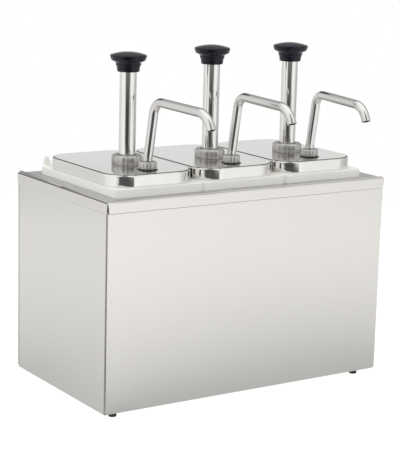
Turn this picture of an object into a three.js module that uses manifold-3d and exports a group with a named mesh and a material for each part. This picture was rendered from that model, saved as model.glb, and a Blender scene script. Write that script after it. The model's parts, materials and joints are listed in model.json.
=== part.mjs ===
import * as THREE from "three";
import { mergeVertices } from "three/addons/utils/BufferGeometryUtils.js";
import Module from "manifold-3d";

// A counter condiment dispenser: a bent sheet cabinet that holds three plastic jars in a row, each with a
// steel lid that carries a plunger pump and its spout. Sizes are in millimetres, +Z is up and the spouts
// point along -Y.

// Clearances
const SEAT_GAP = 0.3; // between pieces that rest on or clamp one another
const RUN_GAP = 0.3; // around pieces that slide in a bore
const CUT_OVERRUN = 1; // how far a cutting solid runs past the face that it cuts

// Cabinet
const CABINET_HEIGHT = 229; // from the lower edge of the panels to the top face of the cap
const SIDE_MARGIN = 20.05; // from the cabinet's side face to the first jar's rim
const FRONT_MARGIN = 16.4;
const SHEET = 0.8;
const BEND_RADIUS = 1.6; // outside, where the sheet is bent
const SIDE_RETURN = 14; // the side panels' edges, turned in behind the front and rear panels
const TOP_RETURN = 12;
const BOTTOM_RETURN = 30;
const RETURN_END_GAP = 1;
const BASE_RETURN = 12;

// Cap
const CAP_SKIRT = 12.4;
const OPENING_GAP = 1; // around each jar where it drops through the cap
const SLIT_START = 1.6; // below the cap's top face
const SLIT_WIDTH = 1.5; // at the skirt's lower edge

// Feet
const FOOT_HEIGHT = 8;
const FOOT_RADIUS = 4.8;
const FOOT_TOE_RADIUS = 4.4;
const FOOT_SIDE_INSET = 18.5;
const FOOT_FRONT_INSET = 16.5;
const SCREW_HEAD_RADIUS = 2.5;
const SCREW_HEAD_HEIGHT = 1.8;
const SCREW_RADIUS = 1.5;
const SCREW_LENGTH = 9;
const SCREW_RECESS = 3.4; // from the foot's lower face to the head's seat

// Jars
const JAR_SIDES = ["left", "middle", "right"];
const JAR_HEIGHT = 190;
const JAR_WALL = 2.2;
const JAR_CORNER = 20;
const JAR_TAPER = 6; // how far each side is drawn in at the bottom
const JAR_BOTTOM_EDGE = 6;
const RIM_WIDTH = 108.3;
const RIM_DEPTH = 173.2;
const RIM_HEIGHT = 8.4;
const RIM_SPACING = 0.5; // between the rims of two jars
const RIM_OVERHANG = 5.1; // from the jar's wall to the rim's outer face
const RIM_WALL = 2;
const RIM_CORNER = 5;
const RIM_EDGE = 0.6;
const EAR_WIDTH = 11;
const EAR_HEIGHT = 11;
const EAR_THICKNESS = 3;
const EAR_INSET = 2.5; // from the rim's side face

// Lids
const LID_SIDE_LEDGE = 0.65; // from the lid's skirt to the rim's outer face
const LID_FRONT_LEDGE = 5.6;
const LID_HEIGHT = 13.5;
const LID_CORNER = 29;
const LID_EDGE = 2.2;

// Pump collar nut and the cylinder that it clamps to the lid
const PUMP_ASIDE = 1.6; // pump axis beside the jar's middle
const COLLAR_RADIUS = 17.3;
const COLLAR_HEIGHT = 10;
const COLLAR_LOBES = 14;
const COLLAR_FLUTE = 1.2;
const COLLAR_CHAMFER = 1.5;
const COLLAR_LIP = 1.8;
const NECK_RADIUS = 12.5;
const FLANGE_RADIUS = 17;
const FLANGE_THICKNESS = 2.5;
const WASHER_RADIUS = 16.5;
const WASHER_THICKNESS = 2;
const BORE_RADIUS = 11.5;
const CYLINDER_WALL = 1.3;
const INTAKE_CLEARANCE = 9.3; // from the jar's floor to the valve body
const GUIDE_LENGTH = 14; // the neck's narrow bore, which guides the sleeve

// Plunger
const STROKE = 80;
const LEFT_PLUNGER_DROP = 4.8; // how far the left plunger rests below its top stop
const KNOB_HEIGHT = 123.5; // widest plane of the knob above the lid, at the top stop
const KNOB_RADIUS = 20.2;
const KNOB_DOME = 4.2;
const KNOB_RIM = 5; // from the widest plane to the rim's lower edge
const KNOB_RIM_RADIUS = 18.8; // at the rim's lower edge
const KNOB_NECK_RADIUS = 12.3;
const KNOB_FLARE = 9;
const KNOB_DROP = 17.4; // from the widest plane to the neck's lower face
const KNOB_SOCKET = 8;
const KNOB_ROD_SOCKET = 5;
const SLEEVE_RADIUS = 9.3;
const SLEEVE_WALL = 1;
const PISTON_THICKNESS = 10;
const PISTON_SHRINK = 0.4; // the piston head's radius below the seal's
const ROD_RADIUS = 4;
const SEAL_HEIGHT = 4;
const SEAL_DEPTH = 2.2;
const SPRING_RADIUS = 9; // to the middle of the wire
const SPRING_WIRE = 0.7;
const SPRING_TURNS = 6;
const SPRING_PRESSED = 18; // left for the spring at the end of the stroke

// Valve body under the cylinder, with the ball that closes its inlet
const VALVE_RADIUS = 16;
const VALVE_SOCKET = 8;
const VALVE_HEIGHT = 28;
const LEDGE_THICKNESS = 3.7;
const LEDGE_RADIUS = 7.6;
const CHAMBER_RADIUS = 9.5;
const CHAMBER_HEIGHT = 11;
const INLET_RADIUS = 5;
const BALL_RADIUS = 7;
const KEEPER_WIDTH = 2.4;
const KEEPER_HEIGHT = 1.6;
const ARM_WIDTH = 13;
const ARM_HEIGHT = 13;
const ARM_RISE = 4.5; // from the valve body's lower face to the arm's
const CHANNEL_RADIUS = 3.5;
const PORT_RADIUS = 8.5;
const PORT_RISE = 12; // of the spout socket above the arm

// Spout, in the plane through its base
const SPOUT_AHEAD = 44.1; // spout axis at the lid, in front of the pump axis
const SPOUT_SETBACK = 30.8; // from the rim's front face to the spout axis
const SPOUT_RADIUS = 5;
const SPOUT_WALL = 0.9;
const SPOUT_SEAT = 10; // how far the tube reaches into the valve body's socket
const RISER_START = 11; // where the riser starts to lean, above the lid
const RISER_LEAN = THREE.MathUtils.degToRad(10.5);
const RISER_TOP = 75.2;
const ARM_LENGTH = 93.4;
const ARM_SLOPE = THREE.MathUtils.degToRad(1.8);
const TIP_DROP = 15.7;
const TIP_SPLAY = THREE.MathUtils.degToRad(23);
const LEAN_BEND = 15;
const ELBOW_BEND = 15;
const TIP_BEND = 24;
const SPOUT_TURNS = [3.5, 1, -5].map(THREE.MathUtils.degToRad); // each spout as it was set by hand
const GLAND_RADIUS = 10;
const GLAND_HEIGHT = 7.4;
const GLAND_LOBES = 10;
const GLAND_FLUTE = 0.8;
const GLAND_CHAMFER = 0.9;
const GASKET_RADIUS = 11.6;
const GASKET_THICKNESS = 1.2;

// Facets
const ROUND_SIDES = 16;
const KNOB_SIDES = 18;
const SMALL_SIDES = 10;
const FOOT_SIDES = 8;
const BALL_RINGS = 6;
const CORNER_STEPS = 4;
const BEND_STEPS = 3;
const SHEET_BEND_STEPS = 2;
const CURVE_STEPS = 3;
const LOBE_STEPS = 3;
const TUBE_SIDES = 10;
const TUBE_BORE_SIDES = 8;
const WIRE_SIDES = 4;
const STEPS_PER_TURN = 8;

const STEEL = { color: 0xc9c9c6, roughness: 0.3, metalness: 1 };
const MIRROR_STEEL = { color: 0xd6d6d2, roughness: 0.08, metalness: 1 };
const CAST_STEEL = { color: 0x9a9896, roughness: 0.45, metalness: 1 };
const WHITE_PLASTIC = { color: 0xe9e9e3, roughness: 0.45, metalness: 0 };
const BLACK_PLASTIC = { color: 0x1c1c24, roughness: 0.2, metalness: 0 };
const RUBBER = { color: 0x17171a, roughness: 0.8, metalness: 0 };

const wasm = await Module();
wasm.setup();

// A closed geometry as a solid that can be cut and joined.
function solid(geometry) {
  const bare = geometry.index ? geometry.toNonIndexed() : geometry.clone();
  bare.deleteAttribute("normal");
  bare.deleteAttribute("uv");
  const merged = mergeVertices(bare);
  const corners = Array.from(merged.index.array);
  const triangles = [];
  for (let i = 0; i < corners.length; i += 3) {
    const [a, b, c] = corners.slice(i, i + 3);
    if (a !== b && b !== c && c !== a) triangles.push(a, b, c);
  }
  const vertProperties = merged.attributes.position.array;
  const made = new wasm.Manifold(
    new wasm.Mesh({ numProp: 3, vertProperties, triVerts: new Uint32Array(triangles) }),
  );
  if (made.volume() > 0) return made;
  const turned = new Uint32Array(triangles.reverse());
  return new wasm.Manifold(new wasm.Mesh({ numProp: 3, vertProperties, triVerts: turned }));
}

// A named mesh made from a solid.
function piece(name, body, finish) {
  const { vertProperties, triVerts } = body.getMesh();
  const indexed = new THREE.BufferGeometry();
  indexed.setAttribute("position", new THREE.BufferAttribute(vertProperties, 3));
  indexed.setIndex(new THREE.BufferAttribute(triVerts, 1));
  const geometry = indexed.toNonIndexed();
  geometry.computeVertexNormals();
  const mesh = new THREE.Mesh(geometry, new THREE.MeshStandardMaterial(finish));
  mesh.name = name;
  return mesh;
}

// A box between two opposite corners.
function block(low, high) {
  const size = high.map((value, axis) => value - low[axis]);
  const middle = high.map((value, axis) => (value + low[axis]) / 2);
  return solid(new THREE.BoxGeometry(...size).translate(...middle));
}

// A solid of revolution about the Z axis from points of radius and height.
function revolve(points, sides = ROUND_SIDES) {
  const profile = points.map(([radius, z]) => new THREE.Vector2(radius, z));
  return solid(new THREE.LatheGeometry(profile, sides).rotateX(Math.PI / 2));
}

// An upright cylinder between two heights.
function rod(radius, low, high, sides = ROUND_SIDES) {
  return revolve([[0, low], [radius, low], [radius, high], [0, high]], sides);
}

// An upright ring between two heights.
function collar(inner, outer, low, high, sides = ROUND_SIDES) {
  return revolve([[inner, low], [outer, low], [outer, high], [inner, high], [inner, low]], sides);
}

// Points round a rectangle with rounded corners, at one height.
function roundedRing(width, depth, radius, z) {
  const points = [];
  const corners = [[1, 1], [-1, 1], [-1, -1], [1, -1]];
  corners.forEach(([sideX, sideY], quarter) => {
    for (let step = 0; step <= CORNER_STEPS; step++) {
      const angle = (quarter + step / CORNER_STEPS) * (Math.PI / 2);
      const x = sideX * (width / 2 - radius) + radius * Math.cos(angle);
      const y = sideY * (depth / 2 - radius) + radius * Math.sin(angle);
      points.push(new THREE.Vector3(x, y, z));
    }
  });
  return points;
}

// Points round a scalloped outline, at one height.
function lobedRing(radius, flute, lobes, z) {
  const count = lobes * LOBE_STEPS;
  return Array.from({ length: count }, (_, i) => {
    const angle = (i / count) * 2 * Math.PI;
    const reach = i % LOBE_STEPS === 0 ? radius - flute : radius;
    return new THREE.Vector3(reach * Math.cos(angle), reach * Math.sin(angle), z);
  });
}

// A closed solid through rings of equal count, with the first and the last ring filled.
function loft(rings) {
  const count = rings[0].length;
  const middles = [rings[0], rings[rings.length - 1]].map((points) =>
    points.reduce((sum, p) => sum.add(p), new THREE.Vector3()).divideScalar(count),
  );
  const points = [...rings.flat(), ...middles];
  const first = rings.length * count;
  const last = first - count;
  const index = [];
  for (let i = 0; i < count; i++) {
    const next = (i + 1) % count;
    for (let k = 0; k < last; k += count) {
      index.push(k + i, k + next, k + count + next, k + i, k + count + next, k + count + i);
    }
    index.push(first, next, i, first + 1, last + i, last + next);
  }
  const geometry = new THREE.BufferGeometry().setFromPoints(points);
  geometry.setIndex(index);
  return solid(geometry);
}

// Points of a regular outline, for a tube's section.
function roundOutline(radius, sides) {
  return Array.from({ length: sides }, (_, i) => {
    const angle = (i / sides) * 2 * Math.PI;
    return new THREE.Vector2(radius * Math.cos(angle), radius * Math.sin(angle));
  });
}

// A path that a tube follows, given by stations with a point and a direction each.
class StationPath extends THREE.Curve {
  constructor(stations) {
    super();
    this.stations = stations;
  }
  station(share) {
    return this.stations[Math.round(share * (this.stations.length - 1))];
  }
  getPoint(share) {
    return this.station(share).point.clone();
  }
  getPointAt(share) {
    return this.getPoint(share);
  }
  getTangentAt(share) {
    return this.station(share).direction.clone();
  }
}

// The stations along straight runs that meet in round bends, one bend radius for each inner corner.
function bentPath(corners, bends) {
  const heading = (from, to) => to.clone().sub(from).normalize();
  const stations = [{ point: corners[0], direction: heading(corners[0], corners[1]) }];
  bends.forEach((radius, k) => {
    const corner = corners[k + 1];
    const into = heading(corners[k], corner);
    const out = heading(corner, corners[k + 2]);
    const turn = into.angleTo(out);
    const start = corner.clone().addScaledVector(into, -radius * Math.tan(turn / 2));
    const across = out.clone().addScaledVector(into, -Math.cos(turn)).normalize();
    for (let step = 0; step <= BEND_STEPS; step++) {
      const angle = (turn * step) / BEND_STEPS;
      const point = start.clone().addScaledVector(into, radius * Math.sin(angle));
      point.addScaledVector(across, radius * (1 - Math.cos(angle)));
      const direction = into.clone().multiplyScalar(Math.cos(angle));
      stations.push({ point, direction: direction.addScaledVector(across, Math.sin(angle)) });
    }
  });
  const end = corners[corners.length - 1];
  stations.push({ point: end, direction: heading(corners[corners.length - 2], end) });
  return new StationPath(stations);
}

// Plan sizes that several pieces share
const jarPitch = RIM_WIDTH + RIM_SPACING;
const cabinetWidth = JAR_SIDES.length * jarPitch - RIM_SPACING + 2 * SIDE_MARGIN;
const cabinetDepth = RIM_DEPTH + 2 * FRONT_MARGIN;
const tubWidth = RIM_WIDTH - 2 * RIM_OVERHANG;
const tubDepth = RIM_DEPTH - 2 * RIM_OVERHANG;
const lidWidth = RIM_WIDTH - 2 * LID_SIDE_LEDGE;
const lidDepth = RIM_DEPTH - 2 * LID_FRONT_LEDGE;
const pumpAhead = RIM_DEPTH / 2 - SPOUT_SETBACK - SPOUT_AHEAD; // in front of the jar's middle
const plungerDrops = [LEFT_PLUNGER_DROP, 0, 0];
const cylinderRadius = BORE_RADIUS + CYLINDER_WALL;
const sealRadius = BORE_RADIUS - RUN_GAP;
const returnHalf = cabinetWidth / 2 - SIDE_RETURN - RETURN_END_GAP;
const footPlaces = [
  ["front_left", -1, -1],
  ["front_right", 1, -1],
  ["rear_left", -1, 1],
  ["rear_right", 1, 1],
].map(([name, sideX, sideY]) => ({
  name,
  x: sideX * (cabinetWidth / 2 - FOOT_SIDE_INSET),
  y: sideY * (cabinetDepth / 2 - FOOT_FRONT_INSET),
}));

// Heights from the surface that the feet stand on
const capTop = FOOT_HEIGHT + CABINET_HEIGHT;
const panelTop = capTop - SHEET - SEAT_GAP;

// Heights in a jar's own frame, from the cap's top face
const rimTop = SEAT_GAP + RIM_HEIGHT;
const lidTop = rimTop + SEAT_GAP + LID_HEIGHT;

// Heights in a lid's own frame, from its top face
const jarFloor = rimTop - JAR_HEIGHT + JAR_WALL - lidTop;
const washerTop = -SHEET - SEAT_GAP;
const flangeTop = washerTop - WASHER_THICKNESS - SEAT_GAP;
const flangeBottom = flangeTop - FLANGE_THICKNESS;
const collarTop = SEAT_GAP + COLLAR_HEIGHT;
const neckTop = collarTop - COLLAR_LIP - SEAT_GAP;
const valveBottom = jarFloor + INTAKE_CLEARANCE;
const ledgeTop = valveBottom + VALVE_HEIGHT - VALVE_SOCKET;
const cylinderBottom = ledgeTop + SEAT_GAP;
const ledgeBottom = ledgeTop - LEDGE_THICKNESS;
const seatHeight = ledgeBottom - CHAMBER_HEIGHT;
const armBottom = valveBottom + ARM_RISE;
const armTop = armBottom + ARM_HEIGHT;
const portTop = armTop + PORT_RISE;
const spoutBottom = portTop - SPOUT_SEAT;
const knobBottom = KNOB_HEIGHT - KNOB_DROP;
const sleeveTop = knobBottom + KNOB_SOCKET - SEAT_GAP;
const rodTop = knobBottom + KNOB_SOCKET + KNOB_ROD_SOCKET - SEAT_GAP;
const pistonBottom = ledgeTop + SPRING_PRESSED + STROKE;
const pistonTop = pistonBottom + PISTON_THICKNESS;
const sealMiddle = (pistonTop + pistonBottom) / 2;
const glandBottom = SEAT_GAP + GASKET_THICKNESS + SEAT_GAP;

// The outline of a sheet bent square at each inner corner, always to the same side.
function bentSheet(corners) {
  const points = corners.map(([x, y]) => new THREE.Vector2(x, y));
  const headings = points.slice(1).map((point, k) => point.clone().sub(points[k]).normalize());
  const last = headings.length - 1;
  const face = (inset) => {
    const path = [points[0].clone().addScaledVector(headings[1], inset)];
    for (let k = 0; k < last; k++) {
      const into = headings[k];
      const out = headings[k + 1];
      const reach = BEND_RADIUS - inset;
      const middle = points[k + 1].clone().addScaledVector(into, -BEND_RADIUS);
      middle.addScaledVector(out, BEND_RADIUS);
      for (let step = 0; step <= SHEET_BEND_STEPS; step++) {
        const angle = (step / SHEET_BEND_STEPS) * (Math.PI / 2);
        const point = middle.clone().addScaledVector(out, -reach * Math.cos(angle));
        path.push(point.addScaledVector(into, reach * Math.sin(angle)));
      }
    }
    path.push(points[last + 1].clone().addScaledVector(headings[last - 1], -inset));
    return path;
  };
  return new THREE.Shape([...face(0), ...face(SHEET).reverse()]);
}

// A bent sheet of some length: its outline stands in the YZ plane and it runs along X about the middle.
function sheetAlongX(corners, length) {
  const sheet = new THREE.ExtrudeGeometry(bentSheet(corners), { depth: length, bevelEnabled: false });
  return sheet.translate(0, 0, -length / 2).rotateX(Math.PI / 2).rotateZ(Math.PI / 2);
}

// A plate with the holes that the foot screws pass through.
function screwHoles(body, low, high) {
  const hole = rod(SCREW_RADIUS + RUN_GAP, low, high, FOOT_SIDES);
  return footPlaces.reduce((cut, { x, y }) => cut.subtract(hole.translate([x, y, 0])), body);
}

// The front panel: a flat sheet with a short return under the cap and a wide one over the feet.
function frontPanel() {
  const face = -cabinetDepth / 2;
  const corners = [
    [face + BOTTOM_RETURN, FOOT_HEIGHT],
    [face, FOOT_HEIGHT],
    [face, panelTop],
    [face + TOP_RETURN, panelTop],
  ];
  const bent = solid(sheetAlongX(corners, cabinetWidth));
  const notch = block(
    [returnHalf, face + SHEET, FOOT_HEIGHT - CUT_OVERRUN],
    [cabinetWidth / 2 + CUT_OVERRUN, face + BOTTOM_RETURN + CUT_OVERRUN, panelTop + CUT_OVERRUN],
  );
  const panel = bent.subtract(notch).subtract(notch.mirror([1, 0, 0]));
  return screwHoles(panel, FOOT_HEIGHT - CUT_OVERRUN, FOOT_HEIGHT + SHEET + CUT_OVERRUN);
}

// A side panel: a flat sheet whose upright edges turn in behind the front and rear panels.
function sidePanel() {
  const face = -cabinetWidth / 2;
  const reach = cabinetDepth / 2 - SHEET - SEAT_GAP;
  const outline = bentSheet([
    [face + SIDE_RETURN, -reach],
    [face, -reach],
    [face, reach],
    [face + SIDE_RETURN, reach],
  ]);
  const depth = panelTop - FOOT_HEIGHT;
  const sheet = new THREE.ExtrudeGeometry(outline, { depth, bevelEnabled: false });
  return solid(sheet.translate(0, 0, FOOT_HEIGHT));
}

// The base plate: it lies on the panels' lower returns, with its edges turned up inside the side panels.
function basePlate() {
  const low = FOOT_HEIGHT + SHEET + SEAT_GAP;
  const halfWidth = cabinetWidth / 2 - SHEET - SEAT_GAP;
  const depth = cabinetDepth - 4 * (SHEET + SEAT_GAP);
  const corners = [
    [-halfWidth, low + BASE_RETURN],
    [-halfWidth, low],
    [halfWidth, low],
    [halfWidth, low + BASE_RETURN],
  ];
  const tray = solid(sheetAlongX(corners, depth).rotateZ(-Math.PI / 2));
  return screwHoles(tray, low - CUT_OVERRUN, low + SHEET + CUT_OVERRUN);
}

// A shallow sheet pan turned over, with its top face at height 0 and its hollow below.
function turnedPan(width, depth, corner, edge, height) {
  const pan = (inset, z) => roundedRing(width - 2 * inset, depth - 2 * inset, corner - inset, z);
  const cut = edge * (1 - Math.SQRT1_2);
  const inner = (edge - SHEET) * (1 - Math.SQRT1_2);
  return loft([
    pan(edge, -SHEET),
    pan(SHEET + inner, -SHEET - inner),
    pan(SHEET, -edge),
    pan(SHEET, -height),
    pan(0, -height),
    pan(0, -edge),
    pan(cut, -cut),
    pan(edge, 0),
  ]);
}

// The wedge that leaves a slit open at a corner of the cap's skirt.
function cornerSlit(halfWidth, halfDepth) {
  const low = capTop - CAP_SKIRT - CUT_OVERRUN;
  const slit = new THREE.Shape([
    new THREE.Vector2(0, capTop - SLIT_START),
    new THREE.Vector2(-SLIT_WIDTH / 2, low),
    new THREE.Vector2(SLIT_WIDTH / 2, low),
  ]);
  const depth = 2 * (BEND_RADIUS + CUT_OVERRUN);
  const wedge = new THREE.ExtrudeGeometry(slit, { depth, bevelEnabled: false });
  wedge.translate(0, 0, -depth / 2).rotateX(Math.PI / 2).rotateZ(-Math.PI / 4);
  return solid(wedge.translate(-halfWidth, -halfDepth, 0));
}

// The cap: a pan with one opening for each jar and a slit at each corner of its skirt.
function topCap() {
  const overhang = SEAT_GAP + SHEET;
  const width = cabinetWidth + 2 * overhang;
  const depth = cabinetDepth + 2 * overhang;
  let cap = turnedPan(width, depth, BEND_RADIUS, BEND_RADIUS, CAP_SKIRT).translate([0, 0, capTop]);
  const opening = (z) => {
    const corner = JAR_CORNER + OPENING_GAP;
    return roundedRing(tubWidth + 2 * OPENING_GAP, tubDepth + 2 * OPENING_GAP, corner, z);
  };
  const cut = loft([opening(capTop - SHEET - CUT_OVERRUN), opening(capTop + CUT_OVERRUN)]);
  JAR_SIDES.forEach((_, i) => {
    cap = cap.subtract(cut.translate([stationX(i), 0, 0]));
  });
  const slit = cornerSlit(width / 2, depth / 2);
  const leftSlits = slit.add(slit.mirror([0, 1, 0]));
  return cap.subtract(leftSlits).subtract(leftSlits.mirror([1, 0, 0]));
}

// A rubber foot with a recess for its screw.
function foot() {
  const top = FOOT_HEIGHT - SEAT_GAP;
  const hole = SCREW_RADIUS + RUN_GAP;
  const recess = SCREW_HEAD_RADIUS + RUN_GAP;
  return revolve([
    [recess, 0],
    [FOOT_TOE_RADIUS, 0],
    [FOOT_RADIUS, top],
    [hole, top],
    [hole, SCREW_RECESS],
    [recess, SCREW_RECESS],
    [recess, 0],
  ], FOOT_SIDES);
}

// The screw that holds a foot, its head up in the recess.
function footScrew() {
  const seat = SCREW_RECESS - SEAT_GAP;
  return revolve([
    [0, seat - SCREW_HEAD_HEIGHT],
    [SCREW_HEAD_RADIUS, seat - SCREW_HEAD_HEIGHT],
    [SCREW_HEAD_RADIUS, seat],
    [SCREW_RADIUS, seat],
    [SCREW_RADIUS, seat + SCREW_LENGTH],
    [0, seat + SCREW_LENGTH],
  ], FOOT_SIDES);
}

// The tongue that stands up at a rear corner of a jar's rim.
function rimEar() {
  const outline = new THREE.Shape();
  outline.moveTo(0, -RIM_EDGE);
  outline.lineTo(EAR_WIDTH, -RIM_EDGE);
  outline.lineTo(EAR_WIDTH, 0);
  outline.quadraticCurveTo(EAR_WIDTH / 2, EAR_HEIGHT, EAR_WIDTH / 3, EAR_HEIGHT);
  outline.quadraticCurveTo(0, EAR_HEIGHT, 0, EAR_HEIGHT / 2);
  const options = { depth: EAR_THICKNESS, bevelEnabled: false, curveSegments: CURVE_STEPS };
  const tongue = new THREE.ExtrudeGeometry(outline, options).rotateX(Math.PI / 2);
  return solid(tongue.translate(EAR_INSET - RIM_WIDTH / 2, RIM_DEPTH / 2 - RIM_EDGE, rimTop));
}

// A jar: a tapered tub that hangs by the turned-down edge of its rim.
function jar() {
  const bottom = rimTop - JAR_HEIGHT;
  const tub = (inset, z) =>
    roundedRing(tubWidth - 2 * inset, tubDepth - 2 * inset, JAR_CORNER - inset, z);
  const rim = (inset, z) =>
    roundedRing(RIM_WIDTH - 2 * inset, RIM_DEPTH - 2 * inset, RIM_CORNER - inset, z);
  const edgeTaper = JAR_TAPER - (JAR_TAPER * JAR_BOTTOM_EDGE) / JAR_HEIGHT;
  const shell = loft([
    tub(JAR_TAPER + JAR_BOTTOM_EDGE / 2, bottom),
    tub(edgeTaper, bottom + JAR_BOTTOM_EDGE),
    tub(0, rimTop - RIM_WALL),
    rim(RIM_WALL, rimTop - RIM_WALL),
    rim(RIM_WALL, SEAT_GAP),
    rim(0, SEAT_GAP),
    rim(0, rimTop - RIM_EDGE),
    rim(RIM_EDGE, rimTop),
    tub(JAR_WALL, rimTop),
    tub(edgeTaper + JAR_WALL, bottom + JAR_BOTTOM_EDGE),
    tub(JAR_TAPER + JAR_BOTTOM_EDGE / 2 + JAR_WALL, bottom + JAR_WALL),
  ]);
  const ear = rimEar();
  return shell.add(ear).add(ear.mirror([1, 0, 0]));
}

// A lid: a turned pan with a hole for the pump and one for the spout.
function lid() {
  const shell = turnedPan(lidWidth, lidDepth, LID_CORNER, LID_EDGE, LID_HEIGHT);
  const low = -SHEET - CUT_OVERRUN;
  const pumpHole = rod(NECK_RADIUS + SEAT_GAP, low, CUT_OVERRUN);
  const spoutHole = rod(SPOUT_RADIUS + SEAT_GAP, low, CUT_OVERRUN, SMALL_SIDES);
  const holes = pumpHole.add(spoutHole.translate([0, -SPOUT_AHEAD, 0]));
  return shell.subtract(holes.translate([PUMP_ASIDE, -pumpAhead, 0]));
}

// A scalloped nut with a chamfered top, between two heights.
function lobedNut(radius, flute, lobes, chamfer, low, high) {
  return loft([
    lobedRing(radius, flute, lobes, low),
    lobedRing(radius, flute, lobes, high - chamfer),
    lobedRing(radius - chamfer, flute, lobes, high),
  ]);
}

// The collar nut round the plunger, with a lip over the cylinder's neck.
function pumpCollar() {
  const nut = lobedNut(COLLAR_RADIUS, COLLAR_FLUTE, COLLAR_LOBES, COLLAR_CHAMFER, SEAT_GAP, collarTop);
  const thread = rod(NECK_RADIUS + SEAT_GAP, SEAT_GAP - CUT_OVERRUN, collarTop - COLLAR_LIP);
  const mouth = rod(SLEEVE_RADIUS + 2 * RUN_GAP, SEAT_GAP, collarTop + CUT_OVERRUN);
  return nut.subtract(thread).subtract(mouth);
}

// The rubber washer under the lid.
function pumpWasher() {
  const low = washerTop - WASHER_THICKNESS;
  return collar(NECK_RADIUS + SEAT_GAP, WASHER_RADIUS, low, washerTop);
}

// The cylinder: a long bore, closed at the top by the neck that guides the sleeve.
function pumpCylinder() {
  const guide = SLEEVE_RADIUS + RUN_GAP;
  return revolve([
    [BORE_RADIUS, cylinderBottom],
    [cylinderRadius, cylinderBottom],
    [cylinderRadius, flangeBottom],
    [FLANGE_RADIUS, flangeBottom],
    [FLANGE_RADIUS, flangeTop],
    [NECK_RADIUS, flangeTop],
    [NECK_RADIUS, neckTop],
    [guide, neckTop],
    [guide, neckTop - GUIDE_LENGTH],
    [BORE_RADIUS, neckTop - GUIDE_LENGTH],
    [BORE_RADIUS, cylinderBottom],
  ]);
}

// The valve body: it holds the cylinder's end and the inlet ball, and its arm feeds the spout.
function valveBody() {
  const shell = rod(VALVE_RADIUS, valveBottom, valveBottom + VALVE_HEIGHT);
  const arm = block([-ARM_WIDTH / 2, -SPOUT_AHEAD, armBottom], [ARM_WIDTH / 2, 0, armTop]);
  const port = rod(PORT_RADIUS, armBottom, portTop, SMALL_SIDES).translate([0, -SPOUT_AHEAD, 0]);
  const socket = rod(cylinderRadius + SEAT_GAP, ledgeTop, ledgeTop + VALVE_SOCKET + CUT_OVERRUN);
  const way = rod(LEDGE_RADIUS, seatHeight, ledgeTop + CUT_OVERRUN, SMALL_SIDES);
  const chamber = rod(CHAMBER_RADIUS, seatHeight, ledgeBottom, SMALL_SIDES);
  const inletLow = valveBottom - CUT_OVERRUN;
  const inlet = rod(INLET_RADIUS, inletLow, seatHeight + CUT_OVERRUN, SMALL_SIDES);
  const channelMiddle = (armBottom + armTop) / 2;
  const channel = rod(CHANNEL_RADIUS, 0, SPOUT_AHEAD, SMALL_SIDES).rotate([90, 0, 0]);
  const seat = rod(SPOUT_RADIUS + SEAT_GAP, spoutBottom - SEAT_GAP, portTop + CUT_OVERRUN, SMALL_SIDES);
  const drop = rod(SPOUT_RADIUS - SPOUT_WALL, channelMiddle, spoutBottom, SMALL_SIDES);
  const keeper = block(
    [-LEDGE_RADIUS - KEEPER_WIDTH, -KEEPER_WIDTH / 2, ledgeTop - KEEPER_HEIGHT],
    [LEDGE_RADIUS + KEEPER_WIDTH, KEEPER_WIDTH / 2, ledgeTop],
  );
  return shell
    .add(arm)
    .add(port)
    .subtract(socket)
    .subtract(way)
    .subtract(chamber)
    .subtract(inlet)
    .subtract(channel.translate([0, 0, channelMiddle]))
    .subtract(seat.add(drop).translate([0, -SPOUT_AHEAD, 0]))
    .add(keeper);
}

// The ball that rests on the inlet's edge and closes it on the down stroke.
function inletBall() {
  const seatDrop = Math.sqrt(BALL_RADIUS ** 2 - INLET_RADIUS ** 2);
  const ball = new THREE.SphereGeometry(BALL_RADIUS, SMALL_SIDES, BALL_RINGS).rotateX(Math.PI / 2);
  return solid(ball.translate(0, 0, seatHeight + seatDrop + SEAT_GAP));
}

// The knob: a domed mushroom with a flared underside and sockets for the sleeve and the rod.
function knob() {
  const outline = new THREE.Path();
  const rimLow = KNOB_HEIGHT - KNOB_RIM;
  outline.moveTo(0, knobBottom);
  outline.lineTo(KNOB_NECK_RADIUS, knobBottom);
  outline.lineTo(KNOB_NECK_RADIUS, rimLow - KNOB_FLARE);
  outline.quadraticCurveTo(KNOB_NECK_RADIUS, rimLow, KNOB_RIM_RADIUS, rimLow);
  outline.lineTo(KNOB_RADIUS, KNOB_HEIGHT);
  outline.quadraticCurveTo(KNOB_RADIUS, KNOB_HEIGHT + KNOB_DOME, 0, KNOB_HEIGHT + KNOB_DOME);
  const profile = outline.getPoints(CURVE_STEPS).map((point) => [point.x, point.y]);
  const low = knobBottom - CUT_OVERRUN;
  const socket = rod(SLEEVE_RADIUS + SEAT_GAP, low, knobBottom + KNOB_SOCKET);
  const rodSocket = rod(ROD_RADIUS + SEAT_GAP, low, rodTop + SEAT_GAP, SMALL_SIDES);
  return revolve(profile, KNOB_SIDES).subtract(socket).subtract(rodSocket);
}

// The bright tube between the knob and the piston.
function plungerSleeve() {
  return collar(SLEEVE_RADIUS - SLEEVE_WALL, SLEEVE_RADIUS, pistonTop + SEAT_GAP, sleeveTop);
}

// The rod with the piston head on its lower end and a groove for the seal.
function pistonRod() {
  const head = sealRadius - PISTON_SHRINK;
  const groove = sealRadius - SEAL_DEPTH - SEAT_GAP;
  const grooveHalf = SEAL_HEIGHT / 2 + SEAT_GAP;
  return revolve([
    [0, pistonBottom],
    [head, pistonBottom],
    [head, sealMiddle - grooveHalf],
    [groove, sealMiddle - grooveHalf],
    [groove, sealMiddle + grooveHalf],
    [head, sealMiddle + grooveHalf],
    [head, pistonTop],
    [ROD_RADIUS, pistonTop],
    [ROD_RADIUS, rodTop],
    [0, rodTop],
  ]);
}

// The seal ring in the piston's groove.
function pistonSeal() {
  const half = SEAL_HEIGHT / 2;
  return collar(sealRadius - SEAL_DEPTH, sealRadius, sealMiddle - half, sealMiddle + half);
}

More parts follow.
